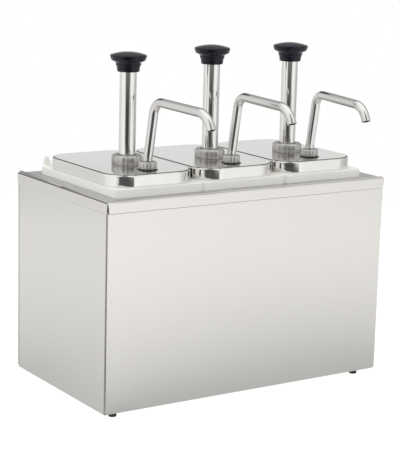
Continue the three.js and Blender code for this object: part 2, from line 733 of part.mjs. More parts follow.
// The wire's centre line from the valve body's ledge up to the piston.
class SpringPath extends THREE.Curve {
  constructor(drop) {
    super();
    this.drop = drop;
  }
  getPoint(share) {
    const low = ledgeTop + SEAT_GAP + SPRING_WIRE;
    const high = pistonBottom - this.drop - SEAT_GAP - SPRING_WIRE;
    const angle = share * SPRING_TURNS * 2 * Math.PI;
    const z = low + share * (high - low);
    return new THREE.Vector3(SPRING_RADIUS * Math.cos(angle), SPRING_RADIUS * Math.sin(angle), z);
  }
}

// The least gap between two turns of the wire, measured on points half a turn or more apart.
function leastSpringGap(path, steps) {
  const points = path.getSpacedPoints(steps);
  let least = Infinity;
  points.forEach((point, i) => {
    points.slice(i + STEPS_PER_TURN / 2).forEach((other) => {
      least = Math.min(least, point.distanceTo(other) - 2 * SPRING_WIRE);
    });
  });
  return least;
}

// The spring that lifts the plunger.
function returnSpring(drop) {
  const path = new SpringPath(drop);
  const steps = SPRING_TURNS * STEPS_PER_TURN;
  const gap = leastSpringGap(path, steps).toFixed(2);
  console.log("least gap between turns of a return spring: " + gap + " mm");
  const section = new THREE.Shape(roundOutline(SPRING_WIRE, WIRE_SIDES));
  return solid(new THREE.ExtrudeGeometry(section, { steps, extrudePath: path, bevelEnabled: false }));
}

// The spout: one bent tube from the valve body up through the lid, forward, and down at the tip.
function spout() {
  const at = (forward, z) => new THREE.Vector3(0, -forward, z);
  const elbow = (RISER_TOP - RISER_START) * Math.tan(RISER_LEAN);
  const nose = elbow + ARM_LENGTH;
  const noseTop = RISER_TOP - ARM_LENGTH * Math.tan(ARM_SLOPE);
  const corners = [
    at(0, spoutBottom),
    at(0, RISER_START),
    at(elbow, RISER_TOP),
    at(nose, noseTop),
    at(nose + TIP_DROP * Math.tan(TIP_SPLAY), noseTop - TIP_DROP),
  ];
  const path = bentPath(corners, [LEAN_BEND, ELBOW_BEND, TIP_BEND]);
  const section = new THREE.Shape(roundOutline(SPOUT_RADIUS, TUBE_SIDES));
  section.holes.push(new THREE.Path(roundOutline(SPOUT_RADIUS - SPOUT_WALL, TUBE_BORE_SIDES)));
  const steps = path.stations.length - 1;
  return solid(new THREE.ExtrudeGeometry(section, { steps, extrudePath: path, bevelEnabled: false }));
}

// The gland nut that holds the spout in the lid.
function spoutNut() {
  const top = glandBottom + GLAND_HEIGHT;
  const nut = lobedNut(GLAND_RADIUS, GLAND_FLUTE, GLAND_LOBES, GLAND_CHAMFER, glandBottom, top);
  const bore = rod(SPOUT_RADIUS + SEAT_GAP, glandBottom - CUT_OVERRUN, top + CUT_OVERRUN, SMALL_SIDES);
  return nut.subtract(bore);
}

// The rubber gasket under the gland nut.
function spoutGasket() {
  const top = SEAT_GAP + GASKET_THICKNESS;
  return collar(SPOUT_RADIUS + SEAT_GAP, GASKET_RADIUS, SEAT_GAP, top, SMALL_SIDES);
}

// The middle of one jar along the cabinet.
function stationX(i) {
  return (i - (JAR_SIDES.length - 1) / 2) * jarPitch;
}

// The cabinet with its feet and their screws.
function cabinet() {
  const group = new THREE.Group();
  const front = frontPanel();
  const side = sidePanel();
  group.add(
    piece("front_panel", front, STEEL),
    piece("rear_panel", front.mirror([0, 1, 0]), STEEL),
    piece("left_panel", side, STEEL),
    piece("right_panel", side.mirror([1, 0, 0]), STEEL),
    piece("base_plate", basePlate(), STEEL),
    piece("top_cap", topCap(), STEEL),
  );
  footPlaces.forEach(({ name, x, y }) => {
    group.add(
      piece("foot_" + name, foot().translate([x, y, 0]), RUBBER),
      piece("foot_screw_" + name, footScrew().translate([x, y, 0]), STEEL),
    );
  });
  return group;
}

// One pump with its plunger and spout, in the lid's frame.
function pump(side, i) {
  const onAxis = new THREE.Group();
  onAxis.position.set(PUMP_ASIDE, -pumpAhead, 0);
  onAxis.add(
    piece("pump_collar_" + side, pumpCollar(), CAST_STEEL),
    piece("pump_washer_" + side, pumpWasher(), RUBBER),
    piece("pump_cylinder_" + side, pumpCylinder(), STEEL),
    piece("valve_body_" + side, valveBody(), CAST_STEEL),
    piece("inlet_ball_" + side, inletBall(), STEEL),
    piece("return_spring_" + side, returnSpring(plungerDrops[i]), STEEL),
  );
  const plunger = new THREE.Group();
  plunger.position.z = -plungerDrops[i];
  plunger.add(
    piece("knob_" + side, knob(), BLACK_PLASTIC),
    piece("plunger_sleeve_" + side, plungerSleeve(), MIRROR_STEEL),
    piece("piston_rod_" + side, pistonRod(), STEEL),
    piece("piston_seal_" + side, pistonSeal(), RUBBER),
  );
  onAxis.add(plunger);
  const atSpout = new THREE.Group();
  atSpout.position.y = -SPOUT_AHEAD;
  atSpout.rotation.z = SPOUT_TURNS[i];
  atSpout.add(
    piece("spout_" + side, spout(), MIRROR_STEEL),
    piece("spout_nut_" + side, spoutNut(), CAST_STEEL),
    piece("spout_gasket_" + side, spoutGasket(), RUBBER),
  );
  onAxis.add(atSpout);
  return onAxis;
}

// One jar with its lid and pump, in a frame at the cap's top face.
function station(side, i) {
  const group = new THREE.Group();
  group.position.set(stationX(i), 0, capTop);
  const cover = new THREE.Group();
  cover.position.z = lidTop;
  cover.add(piece("lid_" + side, lid(), MIRROR_STEEL), pump(side, i));
  group.add(piece("jar_" + side, jar(), WHITE_PLASTIC), cover);
  return group;
}

// The whole dispenser, moved so that its origin is at the bottom centre of its overall box.
function dispenser() {
  const whole = new THREE.Group();
  whole.add(cabinet(), ...JAR_SIDES.map(station));
  const box = new THREE.Box3().setFromObject(whole);
  const middle = box.getCenter(new THREE.Vector3());
  whole.position.set(-middle.x, -middle.y, -box.min.z);
  const group = new THREE.Group();
  group.add(whole);
  return group;
}

export default dispenser();
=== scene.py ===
"""The studio look of a counter dispenser: a sheet steel cabinet, three jars, their steel lids and pumps."""

import json
import math

import bmesh
import bpy
from mathutils import Euler, Matrix, Vector


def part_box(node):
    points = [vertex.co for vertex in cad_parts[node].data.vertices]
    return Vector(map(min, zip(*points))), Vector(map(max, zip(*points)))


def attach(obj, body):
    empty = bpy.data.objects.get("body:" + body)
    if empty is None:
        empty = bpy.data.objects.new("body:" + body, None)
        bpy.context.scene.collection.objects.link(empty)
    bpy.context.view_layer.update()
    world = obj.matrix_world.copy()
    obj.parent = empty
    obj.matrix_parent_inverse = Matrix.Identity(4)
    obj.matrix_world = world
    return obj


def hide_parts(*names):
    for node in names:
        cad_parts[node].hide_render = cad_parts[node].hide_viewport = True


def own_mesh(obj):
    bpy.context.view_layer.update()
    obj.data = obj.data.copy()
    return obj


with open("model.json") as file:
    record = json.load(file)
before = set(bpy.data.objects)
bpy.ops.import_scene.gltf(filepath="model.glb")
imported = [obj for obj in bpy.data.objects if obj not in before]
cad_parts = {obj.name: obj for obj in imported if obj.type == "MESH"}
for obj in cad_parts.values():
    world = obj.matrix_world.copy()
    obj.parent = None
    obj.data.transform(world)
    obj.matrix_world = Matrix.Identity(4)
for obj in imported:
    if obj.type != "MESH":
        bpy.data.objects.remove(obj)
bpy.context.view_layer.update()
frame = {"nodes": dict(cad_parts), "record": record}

SIDES = ("left", "middle", "right")

# Millimetres from here on, apart from the materials, which read metres
MM = 0.001

# Points closer than the first are one, the second is slack for finding edges by their place, and the third
# is the gap between parts that move or slide into each other
TOUCHING = 0.001
NEARLY = 0.01
RUN_GAP = 0.3

# Rounding of turned steel and of rubber, the border of an opened top, and the angle of a sharp edge
TURNED_EDGE = 0.3
RUBBER_EDGE = 0.4
TOP_BORDER = 0.4
SHARP_ANGLE = 40

# How many faces go round each kind of turned piece, and along its small and wide bends
WIDE_STEPS = 72
SLEEVE_STEPS = 96
RING_STEPS = 64
PORT_STEPS = 56
ROD_STEPS = 48
FOOT_STEPS = 40
TUBE_STEPS = 40
WIRE_STEPS = 10
LOBE_STEPS = 12
PRESS_STEPS = 6
BEND_STEPS = 14

# Camera, as the photograph was taken
CAMERA_TURN = math.radians(33.2949)
CAMERA_RISE = math.radians(11.7421)
CAMERA_ROLL = math.radians(1.474)
CAMERA_AIM = Vector((3.10, 40.61, 172.81))
CAMERA_DISTANCE = 1769.7
CAMERA_LENS = 120.13
CAMERA_SENSOR = 36
FLOOR_RADIUS = 1200

# Tones of the studio at bearings in degrees, with the front at 0 and the left at 90: just below level, low
# down, just above level, and high up, where there is a gap over the camera
STUDIO_STRENGTH = 2
STUDIO_RING = [
    (-180, 0.4), (-140, 0.34), (-90, 0.3), (-64, 0.36), (-45, 0.52), (-27, 0.6), (-8, 0.58), (2, 0.4),
    (9, 0.2), (18, 0.04), (52, 0.03), (60, 0.2), (68, 0.5), (80, 0.6), (112, 0.56), (130, 0.48), (180, 0.4),
]
STUDIO_FOOT = [
    (-180, 0.4), (-140, 0.34), (-90, 0.3), (-64, 0.36), (-45, 0.52), (-27, 0.6), (-13, 0.6), (-8, 0.08),
    (8, 0.05), (52, 0.06), (58, 0.4), (68, 0.6), (80, 0.58), (112, 0.54), (130, 0.46), (180, 0.4),
]
STUDIO_BACK = [
    (-180, 0.44), (-147, 0.42), (-90, 0.4), (-40, 0.6), (-8, 0.6), (8, 0.1), (60, 0.1), (72, 0.6),
    (112, 0.6), (150, 0.5), (180, 0.44),
]
STUDIO_HIGH = [
    (-180, 0.29), (-165, 0.215), (-120, 0.205), (-90, 0.32), (-40, 0.5), (-8, 0.55), (30, 0.5), (72, 0.56),
    (112, 0.6), (150, 0.45), (180, 0.29),
]
STUDIO_GAP = [(-180, 0), (10, 0), (20, 0.85), (42, 0.85), (52, 0), (180, 0)]
CEILING = (0.7, 0.7, 0.7, 1)

# Where each of them takes over from the one below it, and how far up the gap goes, with 0 straight down,
# 0.5 level and 1 overhead
RING_START = [(0.421, 0), (0.426, 1)]
BACK_START = [(0.5, 0), (0.56, 1)]
HIGH_START = [(0.58, 0), (0.63, 1)]
CEILING_START = [(0.85, 0), (0.93, 1)]
GAP_REACH = [(0.63, 0), (0.68, 1), (0.95, 1), (0.98, 0)]

# Tones that the floor throws back: far away and near the cabinet at each bearing, the part of them that is
# lost beside the cabinet, and how that loss and the near tones end with the distance in metres
FLOOR_RING = [
    (-180, 0.45), (-110, 0.45), (-75, 0.54), (-55, 0.6), (-30, 0.66), (-14, 0.66), (-8, 0.3), (0, 0.05),
    (62, 0.05), (74, 0.4), (90, 0.55), (115, 0.58), (180, 0.5),
]
FLOOR_NEAR = [(-180, 0.5), (-60, 0.55), (-15, 0.62), (60, 0.6), (90, 0.54), (180, 0.5)]
FLOOR_LOSS = [(-180, 0.3), (-90, 0.4), (-45, 0.5), (20, 0.5), (60, 0.3), (180, 0.3)]
FLOOR_FADE = [
    (0, 1), (0.09, 0.74), (0.17, 0.54), (0.26, 0.39), (0.41, 0.23), (0.53, 0.15), (0.8, 0.05), (1, 0),
]
FLOOR_NEAR_END = [(0.02, 0), (0.1, 1)]

# What the camera sees of the floor: the strength of its white, and the share of that over the paint
FLOOR_WHITE = 1.15
FLOOR_WHITE_SHARE = 0.85

# Cabinet
SHEET = 0.8
PANEL_BEND = 1.6
CORNER_BEND = 2
EASED_EDGE = 1.7
EASED_DROP = 0.56
HEM = 0.9
HEM_LEAN = 0.85
SIDE_RETURN = 14
TOP_RETURN = 12
RETURN_END_GAP = 1
CAP_EDGE = 1.6
# Turns in degrees from the top between which the bends at the cap's ends get painted shade
CAP_SHADE_START = 15
CAP_SHADE_END = 60
CAP_CORNER = 1.8
SLIT_START = 1.6
SLIT_WIDTH = 2.2
SLIT_MARGIN = 0.5
OPENING_GAP = 1
WELD_RADIUS = 1.6
WELD_HEIGHT = 0.15
WELD_INSET = 6.5
WELD_HEIGHTS = (64, 132, 208)
FOOT_EDGE = 0.35

# Lid
LID_CORNER = 29
LID_EDGE = 2.2
# Turn in degrees from the top down to which the lid's bend gets painted shade
LID_SHADE_END = 47
PUMP_ASIDE = 1.6
PUMP_AHEAD = 11.7
SPOUT_AHEAD = 44.1

# Jar
JAR_CORNER = 20
JAR_STEPS = 8
JAR_TAPER = 6
JAR_BOTTOM_EDGE = 6
JAR_WALL = 2.2
RIM_OVERHANG = 5.1
RIM_HEIGHT = 8.9
RIM_LIFT = 0.25
RIM_WALL = 2
RIM_CORNER = 5
EAR_WIDTH = 11
EAR_HEIGHT = 11
EAR_THICKNESS = 3
EAR_INSET = 2.5
EAR_CORNER = 1.7
EAR_EDGE = 0.7

# An ear from the side of the jar inwards, and up from the rim, before its upper corners are rounded
EAR_OUTLINE = [
    (0, -0.6), (EAR_WIDTH, -0.6), (EAR_WIDTH, 0.5), (5.6, EAR_HEIGHT), (1.8, EAR_HEIGHT), (0, 6.5),
]

# Pump collar and the parts around it
COLLAR_LOBES = 14
COLLAR_FLUTE = 0.55
COLLAR_CHAMFER = 1.5
COLLAR_LIP = 1.8
COLLAR_DROP = 0.28
NECK_RADIUS = 12.5
SLEEVE_RADIUS = 9.3
COLLAR_THROAT = SLEEVE_RADIUS + 2
SLEEVE_WALL = 1
BORE_RADIUS = 11.5
CYLINDER_WALL = 1.3
FLANGE_RADIUS = 17
FLANGE_THICKNESS = 2.5
GUIDE_LENGTH = 14
WASHER_RADIUS = 16.5

# Parts inside the pump
ROD_RADIUS = 4
SEAL_DEPTH = 2.2
SEAL_HEIGHT = 4
PISTON_THICKNESS = 10
PISTON_GAP = 0.7
SPRING_RADIUS = 9
SPRING_WIRE = 0.7
SPRING_TURNS = 6
SPRING_STEPS = 40
BALL_RADIUS = 7
VALVE_RADIUS = 16
VALVE_HEIGHT = 28
VALVE_SOCKET = 8
HOUSING_EDGE = 0.8
LEDGE_THICKNESS = 3.7
LEDGE_RADIUS = 7.6
CHAMBER_RADIUS = 9.5
CHAMBER_HEIGHT = 11
INLET_RADIUS = 5
ARM_WIDTH = 13
ARM_RISE = 4.5
ARM_HEIGHT = 13
ARM_BITE = 2
ARM_EDGE = 1.6
PORT_RADIUS = 8.5
PORT_SEAT = 10.3
PORT_EDGE = 0.6

# Knob
KNOB_RADIUS = 20.2
KNOB_DOME = 4.2
KNOB_NECK_RADIUS = 12.3
KNOB_SOCKET = 8

# The knob's rim, flare and neck, as radius and height from the lower edge of its dome
KNOB_SKIRT = [
    (19.55, 0.75), (20, 0.35), (KNOB_RADIUS, -0.1), (20.15, -0.6), (19.9, -1.6), (19.4, -3.2),
    (18.95, -4.4), (18.6, -5), (17.9, -5.5), (16.2, -6.1), (14.8, -7.1), (13.9, -8.1), (13.75, -8.6),
    (14, -9.2), (13.95, -9.8), (13.4, -10.8), (12.95, -12), (12.6, -13.6), (12.4, -15.4),
]

# Spout and its gland nut
SPOUT_RADIUS = 5
SPOUT_WALL = 0.9
RISER_START = 11
RISER_LEAN = math.radians(10.5)
RISER_TOPS = {"left": 75.2, "middle": 76.3, "right": 73.9}
SPOUT_REACH = 105.28
ARM_SLOPE = math.radians(1.8)
TIP_DROP = 15.7
TIP_SPLAY = math.radians(23)
LEAN_BEND = 15
ELBOW_BEND = 15
TIP_BEND = 24
SPOUT_TURNS = {"left": math.radians(3.5), "middle": math.radians(-0.5), "right": math.radians(-5)}
GLAND_LOBES = 10
GLAND_FLUTE = 0.5
GLAND_CHAMFER = 0.9
GLAND_LIP = 2.6
GLAND_DROP = 1.4
GLAND_THROAT = SPOUT_RADIUS + 2.9
GLAND_RING_DROP = 0.25
GLAND_RING_SLOPE = 0.05


class Shade:
    """One output of a finish's nodes, on which sums can be written."""

    def __init__(self, finish, socket):
        self.finish = finish
        self.socket = socket

    def _sum(self, operation, *terms):
        return self.finish.node("ShaderNodeMath", {"operation": operation}, dict(enumerate(terms)))

    def __add__(self, other):
        return self._sum("ADD", self, other)

    def __radd__(self, other):
        return self._sum("ADD", other, self)

    def __sub__(self, other):
        return self._sum("SUBTRACT", self, other)

    def __rsub__(self, other):
        return self._sum("SUBTRACT", other, self)

    def __mul__(self, other):
        return self._sum("MULTIPLY", self, other)

    def __rmul__(self, other):
        return self._sum("MULTIPLY", other, self)

    def __truediv__(self, other):
        return self._sum("DIVIDE", self, other)

    def __pow__(self, other):
        return self._sum("POWER", self, other)

    def __neg__(self):
        return self._sum("MULTIPLY", self, -1)

    def most(self, other):
        return self._sum("MAXIMUM", self, other)

    def bearing(self, other):
        """The direction in which two coordinates lie, as a share of a full turn."""
        return self._sum("ARCTAN2", self, other) / math.tau + 0.5


class Finish:
    """The nodes of one material, or of the studio around it."""

    def __init__(self, owner):
        self.owner = owner
        owner.use_nodes = True
        self.tree = owner.node_tree
        self.tree.nodes.clear()

    def node(self, kind, settings=None, sockets=None, output=0):
        made = self.tree.nodes.new(kind)
        for key, value in (settings or {}).items():
            if key == "stops":
                self._set_stops(made.color_ramp, value)
            else:
                setattr(made, key, value)
        for key, value in (sockets or {}).items():
            if isinstance(value, Shade):
                self.tree.links.new(value.socket, made.inputs[key])
            else:
                made.inputs[key].default_value = value
        return Shade(self, made.outputs[output]) if made.outputs else made

    @staticmethod
    def _set_stops(ramp, stops):
        while len(ramp.elements) > 1:
            ramp.elements.remove(ramp.elements[-1])
        ramp.elements[0].position = stops[0][0]
        for place, _ in stops[1:]:
            ramp.elements.new(place)
        for element, (_, value) in zip(ramp.elements, stops):
            element.color = (value, value, value, 1)

    def place(self, scale):
        spot = self.node("ShaderNodeTexCoord", output="Object")
        return self.node("ShaderNodeMapping", {}, {"Vector": spot, "Scale": scale})

    def axes(self, kind):
        spot = self.node("ShaderNodeTexCoord", output=kind)
        split = self.node("ShaderNodeSeparateXYZ", {}, {"Vector": spot}).socket.node
        return [Shade(self, split.outputs[i]) for i in range(3)]

    def noise(self, scale, detail, roughness):
        sockets = {"Vector": self.place(scale), "Scale": 1.0, "Detail": detail, "Roughness": roughness}
        return self.node("ShaderNodeTexNoise", {}, sockets, output="Fac")

    def ramp(self, value, stops):
        return self.node("ShaderNodeValToRGB", {"stops": stops}, {"Fac": value}, output="Color")

    def blend(self, factor, first, second):
        sockets = {0: factor, 6: first, 7: second}
        return self.node("ShaderNodeMix", {"data_type": "RGBA"}, sockets, output=2)

    def bump(self, height, distance, strength):
        sockets = {"Height": height, "Distance": distance, "Strength": strength}
        return self.node("ShaderNodeBump", {}, sockets)

    def surface(self, **sockets):
        named = {key.replace("_", " "): value for key, value in sockets.items()}
        shader = self.node("ShaderNodeBsdfPrincipled", {}, named, output="BSDF")
        self.node("ShaderNodeOutputMaterial", {}, {"Surface": shader})
        return self.owner


def finish(name):
    return Finish(bpy.data.materials.new(name))


def shared(share, colour):
    """A colour with each of its parts times a share."""
    return [share * part for part in colour] + [1]


def brushed_steel(
    name, along, light=(0.698, 0.681, 0.652, 1), dark=(0.668, 0.652, 0.624, 1), roughness=0.22,
):
    """Brushed sheet, with its grain along one axis."""
    make = finish(name)
    fine = make.noise([4.0 if axis == along else 2400 for axis in "xyz"], 3, 0.6)
    broad = make.noise([0.9 if axis == along else 300 for axis in "xyz"], 2, 0.5)
    smudge = make.noise([14, 14, 11], 4, 0.6)
    grain = fine * 0.75 + broad * 0.25
    tone = make.ramp(grain * 0.8 + smudge * 0.2, [(0.3, 0), (0.7, 1)])
    return make.surface(
        Base_Color=make.blend(tone, dark, light),
        Metallic=1.0,
        Roughness=roughness + (grain - 0.5) * 0.1 + (smudge - 0.5) * 0.1,
        Normal=make.bump(fine, 0.0001, 0.2),
    )


def polished_steel(name, roughness=0.08, light=(0.76, 0.75, 0.725, 1), dark=(0.7, 0.69, 0.67, 1)):
    """Bright rolled steel: nearly a mirror, with faint waves and wiping marks."""
    make = finish(name)
    wave = make.noise([9, 9, 9], 1, 0.4)
    haze = make.noise([40, 40, 25], 3, 0.5)
    return make.surface(
        Base_Color=make.blend(haze, dark, light),
        Metallic=1.0,
        Roughness=roughness + (haze - 0.5) * 0.05,
        Normal=make.bump(wave, 0.0002, 0.03),
    )


def satin_steel(name, share):
    """Machined or cast steel with a fine dull skin; a share above 1 is brighter."""
    make = finish(name)
    skin = make.noise([900, 900, 900], 3, 0.6)
    tone = make.noise([140, 140, 30], 3, 0.5)
    dark, light = shared(share, (0.39, 0.382, 0.377)), shared(share, (0.485, 0.476, 0.47))
    colour = make.blend(make.ramp(tone, [(0.3, 0), (0.7, 1)]), dark, light)
    return make.surface(
        Base_Color=colour,
        Metallic=1.0,
        Roughness=0.42 + (skin - 0.5) * 0.14,
        Normal=make.bump(skin, 0.0001, 0.3),
    )


def jar_plastic(name, glow):
    """Milky jar plastic that lets some light through, with a painted glow that brightens it as light would,
    more so where it is thin.
    """
    make = finish(name)
    cloud = make.noise([35, 35, 35], 3, 0.5)
    skin = make.noise([700, 700, 700], 2, 0.5)
    colour = make.blend(cloud, (0.88, 0.88, 0.84, 1), (0.93, 0.93, 0.9, 1))
    return make.surface(
        Base_Color=colour,
        Roughness=0.4 + (cloud - 0.5) * 0.1,
        Normal=make.bump(skin, 0.00005, 0.2),
        Subsurface_Weight=0.2,
        Subsurface_Radius=(0.006, 0.006, 0.005),
        # Painted glow: the plastic gives off light of its own, though it is no lamp
        Emission_Color=(1, 0.99, 0.95, 1),
        Emission_Strength=glow,
        IOR=1.45,
    )


def knob_plastic(name):
    """Glossy black moulding with a faint moulded skin."""
    make = finish(name)
    skin = make.noise([500, 500, 500], 2, 0.5)
    mark = make.noise([90, 90, 90], 4, 0.6)
    colour = make.blend(mark, (0.008, 0.0075, 0.015, 1), (0.014, 0.013, 0.024, 1))
    return make.surface(
        Base_Color=colour,
        Roughness=0.2 + (mark - 0.5) * 0.12,
        Normal=make.bump(skin, 0.00003, 0.15),
        IOR=1.32,
    )


def rubber(name):
    """Dull black rubber."""
    make = finish(name)
    grit = make.noise([1500, 1500, 1500], 3, 0.6)
    colour = make.blend(grit, (0.012, 0.012, 0.014, 1), (0.035, 0.035, 0.038, 1))
    return make.surface(
        Base_Color=colour,
        Roughness=0.62 + (grit - 0.5) * 0.2,
        Normal=make.bump(grit, 0.0001, 0.4),
    )


def spring_wire(name):
    """Drawn spring wire."""
    make = finish(name)
    draw = make.noise([900, 900, 200], 3, 0.5)
    colour = make.blend(draw, (0.42, 0.42, 0.43, 1), (0.62, 0.62, 0.62, 1))
    return make.surface(Base_Color=colour, Metallic=1.0, Roughness=0.22 + (draw - 0.5) * 0.1)


def painted_bend_shade(name, share=1):
    """Painted shade: a darker strip of steel along a pressed bend, standing in for the dark reflection
    there; a share above 1 is brighter.
    """
    make = finish(name)
    grit = make.noise([300, 300, 300], 3, 0.6)
    dark, light = shared(share, (0.09, 0.088, 0.085)), shared(share, (0.16, 0.157, 0.152))
    colour = make.blend(grit, dark, light)
    return make.surface(Base_Color=colour, Metallic=1.0, Roughness=0.3 + (grit - 0.5) * 0.2)


FINISHES = {
    "brushed_sheet": brushed_steel("brushed_sheet_upright", "z"),
    "polished_steel": polished_steel("polished_steel"),
    "satin_steel": satin_steel("satin_steel", 1.12),
    "spring_steel": spring_wire("spring_steel"),
    # The jar plastic, with a faint painted glow
    "white_plastic": jar_plastic("milky_plastic", 0.07),
    "black_plastic": knob_plastic("knob_plastic"),
    "seal_rubber": rubber("seal_rubber"),
    "foot_rubber": rubber("foot_rubber"),
}
CAP_STEEL = brushed_steel("brushed_sheet_along", "x")
LID_STEEL = polished_steel("lid_steel", 0.05)
SPOUT_STEEL = polished_steel("spout_steel", 0.12, (0.7, 0.69, 0.67, 1), (0.62, 0.61, 0.595, 1))
GLAND_STEEL = satin_steel("gland_steel", 1.2)
# The ears' plastic, with twice the painted glow
EAR_PLASTIC_MORE_PAINTED_GLOW = jar_plastic("milky_plastic_more_painted_glow", 0.14)
# Painted shade: a darker copy of the brushed sheet for the cap's flat top
CAP_TOP_PAINTED_SHADE = brushed_steel(
    "brushed_sheet_top_painted_shade", "x", (0.53, 0.518, 0.496, 1), (0.475, 0.464, 0.444, 1), 0.26,
)
# Painted shade along the bends of the lids and of the cap's ends
BEND_PAINTED_SHADE = painted_bend_shade("bend_painted_shade")
# A lighter painted shade along the side panels' upright corners
CORNER_PAINTED_SHADE = painted_bend_shade("corner_painted_shade", 2.6)


def middle_of(node):
    """The middle of a node's box, and its lowest and highest points, in millimetres."""
    low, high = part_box(node)
    centre = (low + high) / (2 * MM)
    return centre.x, centre.y, low.z / MM, high.z / MM


def gathered(shapes):
    """Brings several shapes together in one."""
    whole = bmesh.new()
    for shape in shapes:
        mesh = bpy.data.meshes.new("part")
        shape.to_mesh(mesh)
        shape.free()
        whole.from_mesh(mesh)
        bpy.data.meshes.remove(mesh)
    return whole


def set_piece(
    bm, name, body, nodes, slot, at=(0, 0, 0), turn=0, material=None, wall=0, crease=32, even=False,
    inside=None, strips=(), strip_of=None,
):
    """Puts a shape that was made round its own origin in its place, and gives it its finish.

    A wall is grown inwards, and on a sheet the point inside tells which way that is. Strips are further
    finishes, and strip_of gives the number of the one at a face's middle, or 0 for none.
    """
    bmesh.ops.remove_doubles(bm, verts=bm.verts, dist=TOUCHING)
    bmesh.ops.recalc_face_normals(bm, faces=bm.faces)
    if inside:
        widest = max(bm.faces, key=lambda face: face.calc_area())
        if widest.normal.dot(widest.calc_center_median() - Vector(inside)) < 0:
            bmesh.ops.reverse_faces(bm, faces=bm.faces)
    if strips:
        for face in bm.faces:
            face.material_index = strip_of(face.calc_center_median())
    place = Matrix.Scale(MM, 4) @ Matrix.Translation(at) @ Matrix.Rotation(turn, 4, "Z")
    bmesh.ops.transform(bm, matrix=place, verts=bm.verts)
    for face in bm.faces:
        face.smooth = True
    # Sharp open edges keep the rim that closes a wall from being shaded as one with the sheet
    bm.edges.index_update()
    open_edges = [edge.index for edge in bm.edges if edge.is_boundary]
    mesh = bpy.data.meshes.new(name)
    bm.to_mesh(mesh)
    bm.free()
    mesh.set_sharp_from_angle(angle=math.radians(crease))
    for index in open_edges:
        mesh.edges[index].use_edge_sharp = True
    for each in (material or FINISHES[slot], *strips):
        mesh.materials.append(each)
    made = bpy.data.objects.new(name, mesh)
    bpy.context.scene.collection.objects.link(made)
    if wall:
        sheet = made.modifiers.new("wall", "SOLIDIFY")
        sheet.thickness = wall * MM
        sheet.offset = -1
        sheet.use_even_offset = True
    if even:
        made.modifiers.new("even", "WEIGHTED_NORMAL").keep_sharp = True
    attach(made, body)
    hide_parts(*nodes)
    return made


def arc(centre, radius, start, end, steps):
    """Points on an arc in a profile, with angles in degrees from the outward direction."""
    angles = [math.radians(start + (end - start) * i / steps) for i in range(steps + 1)]
    return [(centre[0] + radius * math.cos(a), centre[1] + radius * math.sin(a)) for a in angles]


def turned(profile, steps, closed=True):
    """A profile of radius and height, turned about the upright axis."""
    bm = bmesh.new()
    points = [bm.verts.new((radius, 0, height)) for radius, height in profile]
    pairs = list(zip(points, points[1:]))
    if closed:
        pairs.append((points[-1], points[0]))
    edges = [bm.edges.new(pair) for pair in pairs]
    bmesh.ops.spin(bm, geom=points + edges, axis=(0, 0, 1), angle=math.tau, steps=steps, use_merge=True)
    return bm


def round_edges(bm, width, steps=3):
    """Rounds the sharp edges of a shape."""
    bmesh.ops.remove_doubles(bm, verts=bm.verts, dist=TOUCHING)
    sharp = [e for e in bm.edges if e.is_manifold and e.calc_face_angle() > math.radians(SHARP_ANGLE)]
    bmesh.ops.bevel(bm, geom=sharp, offset=width, segments=steps, profile=0.5, affect="EDGES", material=-1)


def rounded_outline(bm, width, depth, corner, height, steps):
    """A plate with rounded corners; returns its one face."""
    before = set(bm.faces)
    plate = bmesh.ops.create_grid(bm, x_segments=1, y_segments=1, size=0.5)["verts"]
    place = Matrix.Translation((0, 0, height)) @ Matrix.Diagonal((width, depth, 1, 1))
    bmesh.ops.transform(bm, matrix=place, verts=plate)
    bmesh.ops.bevel(
        bm, geom=plate, offset=corner, segments=steps, profile=0.5, affect="VERTICES", material=-1,
    )
    return (set(bm.faces) - before).pop()


def bridged(rings, steps, bottom=False):
    """A skin through rounded outlines of width, depth, corner and height, closed at the last."""
    bm = bmesh.new()
    faces = [rounded_outline(bm, *ring, steps) for ring in rings]
    for low, high in zip(faces, faces[1:]):
        bmesh.ops.bridge_loops(bm, edges=list(low.edges) + list(high.edges))
    kept = ([faces[0]] if bottom else []) + [faces[-1]]
    bmesh.ops.delete(bm, geom=[f for f in faces if f not in kept], context="FACES_ONLY")
    return bm


def new_edges(made):
    """The edges that an extrusion made at its far end."""
    verts = {v for v in made["geom"] if isinstance(v, bmesh.types.BMVert)}
    return [e for e in made["geom"] if isinstance(e, bmesh.types.BMEdge) and set(e.verts) <= verts]


def lobed_nut(radius, flute, lobes, chamfer, low, high, bore, lip, throat):
    """A grip nut with rounded lobes and chamfered edges, whose bore has another width at its upper lip."""
    bm = bmesh.new()
    bmesh.ops.create_circle(bm, segments=lobes * LOBE_STEPS, radius=bore)
    bmesh.ops.translate(bm, verts=bm.verts, vec=(0, 0, low))
    stations = [
        (radius - 0.4 * chamfer, flute, low),
        (radius, flute, low + 0.4 * chamfer),
        (radius, flute, high - chamfer - 0.4),
        (radius - 0.25, flute * 0.8, high - chamfer),
        (radius - chamfer, 0, high - 0.25),
        (radius - chamfer - 0.4, 0, high),
        (throat + 0.3, 0, high),
        (throat, 0, high - 0.3),
        (throat, 0, high - lip),
        (bore, 0, high - lip),
        (bore, 0, low),
    ]
    edges = list(bm.edges)
    for reach, groove, height in stations:
        edges = new_edges(bmesh.ops.extrude_edge_only(bm, edges=edges))
        for vert in {v for e in edges for v in e.verts}:
            angle = math.atan2(vert.co.y, vert.co.x)
            out = reach - groove * math.cos(angle * lobes / 2) ** 4
            vert.co = (out * math.cos(angle), out * math.sin(angle), height)
    return bm


def disc(bm, x, y, radius, height):
    """A round outline; returns its one face."""
    place = Matrix.Translation((x, y, height))
    made = bmesh.ops.create_circle(bm, cap_ends=True, segments=RING_STEPS, radius=radius, matrix=place)
    return made["verts"][0].link_faces[0]


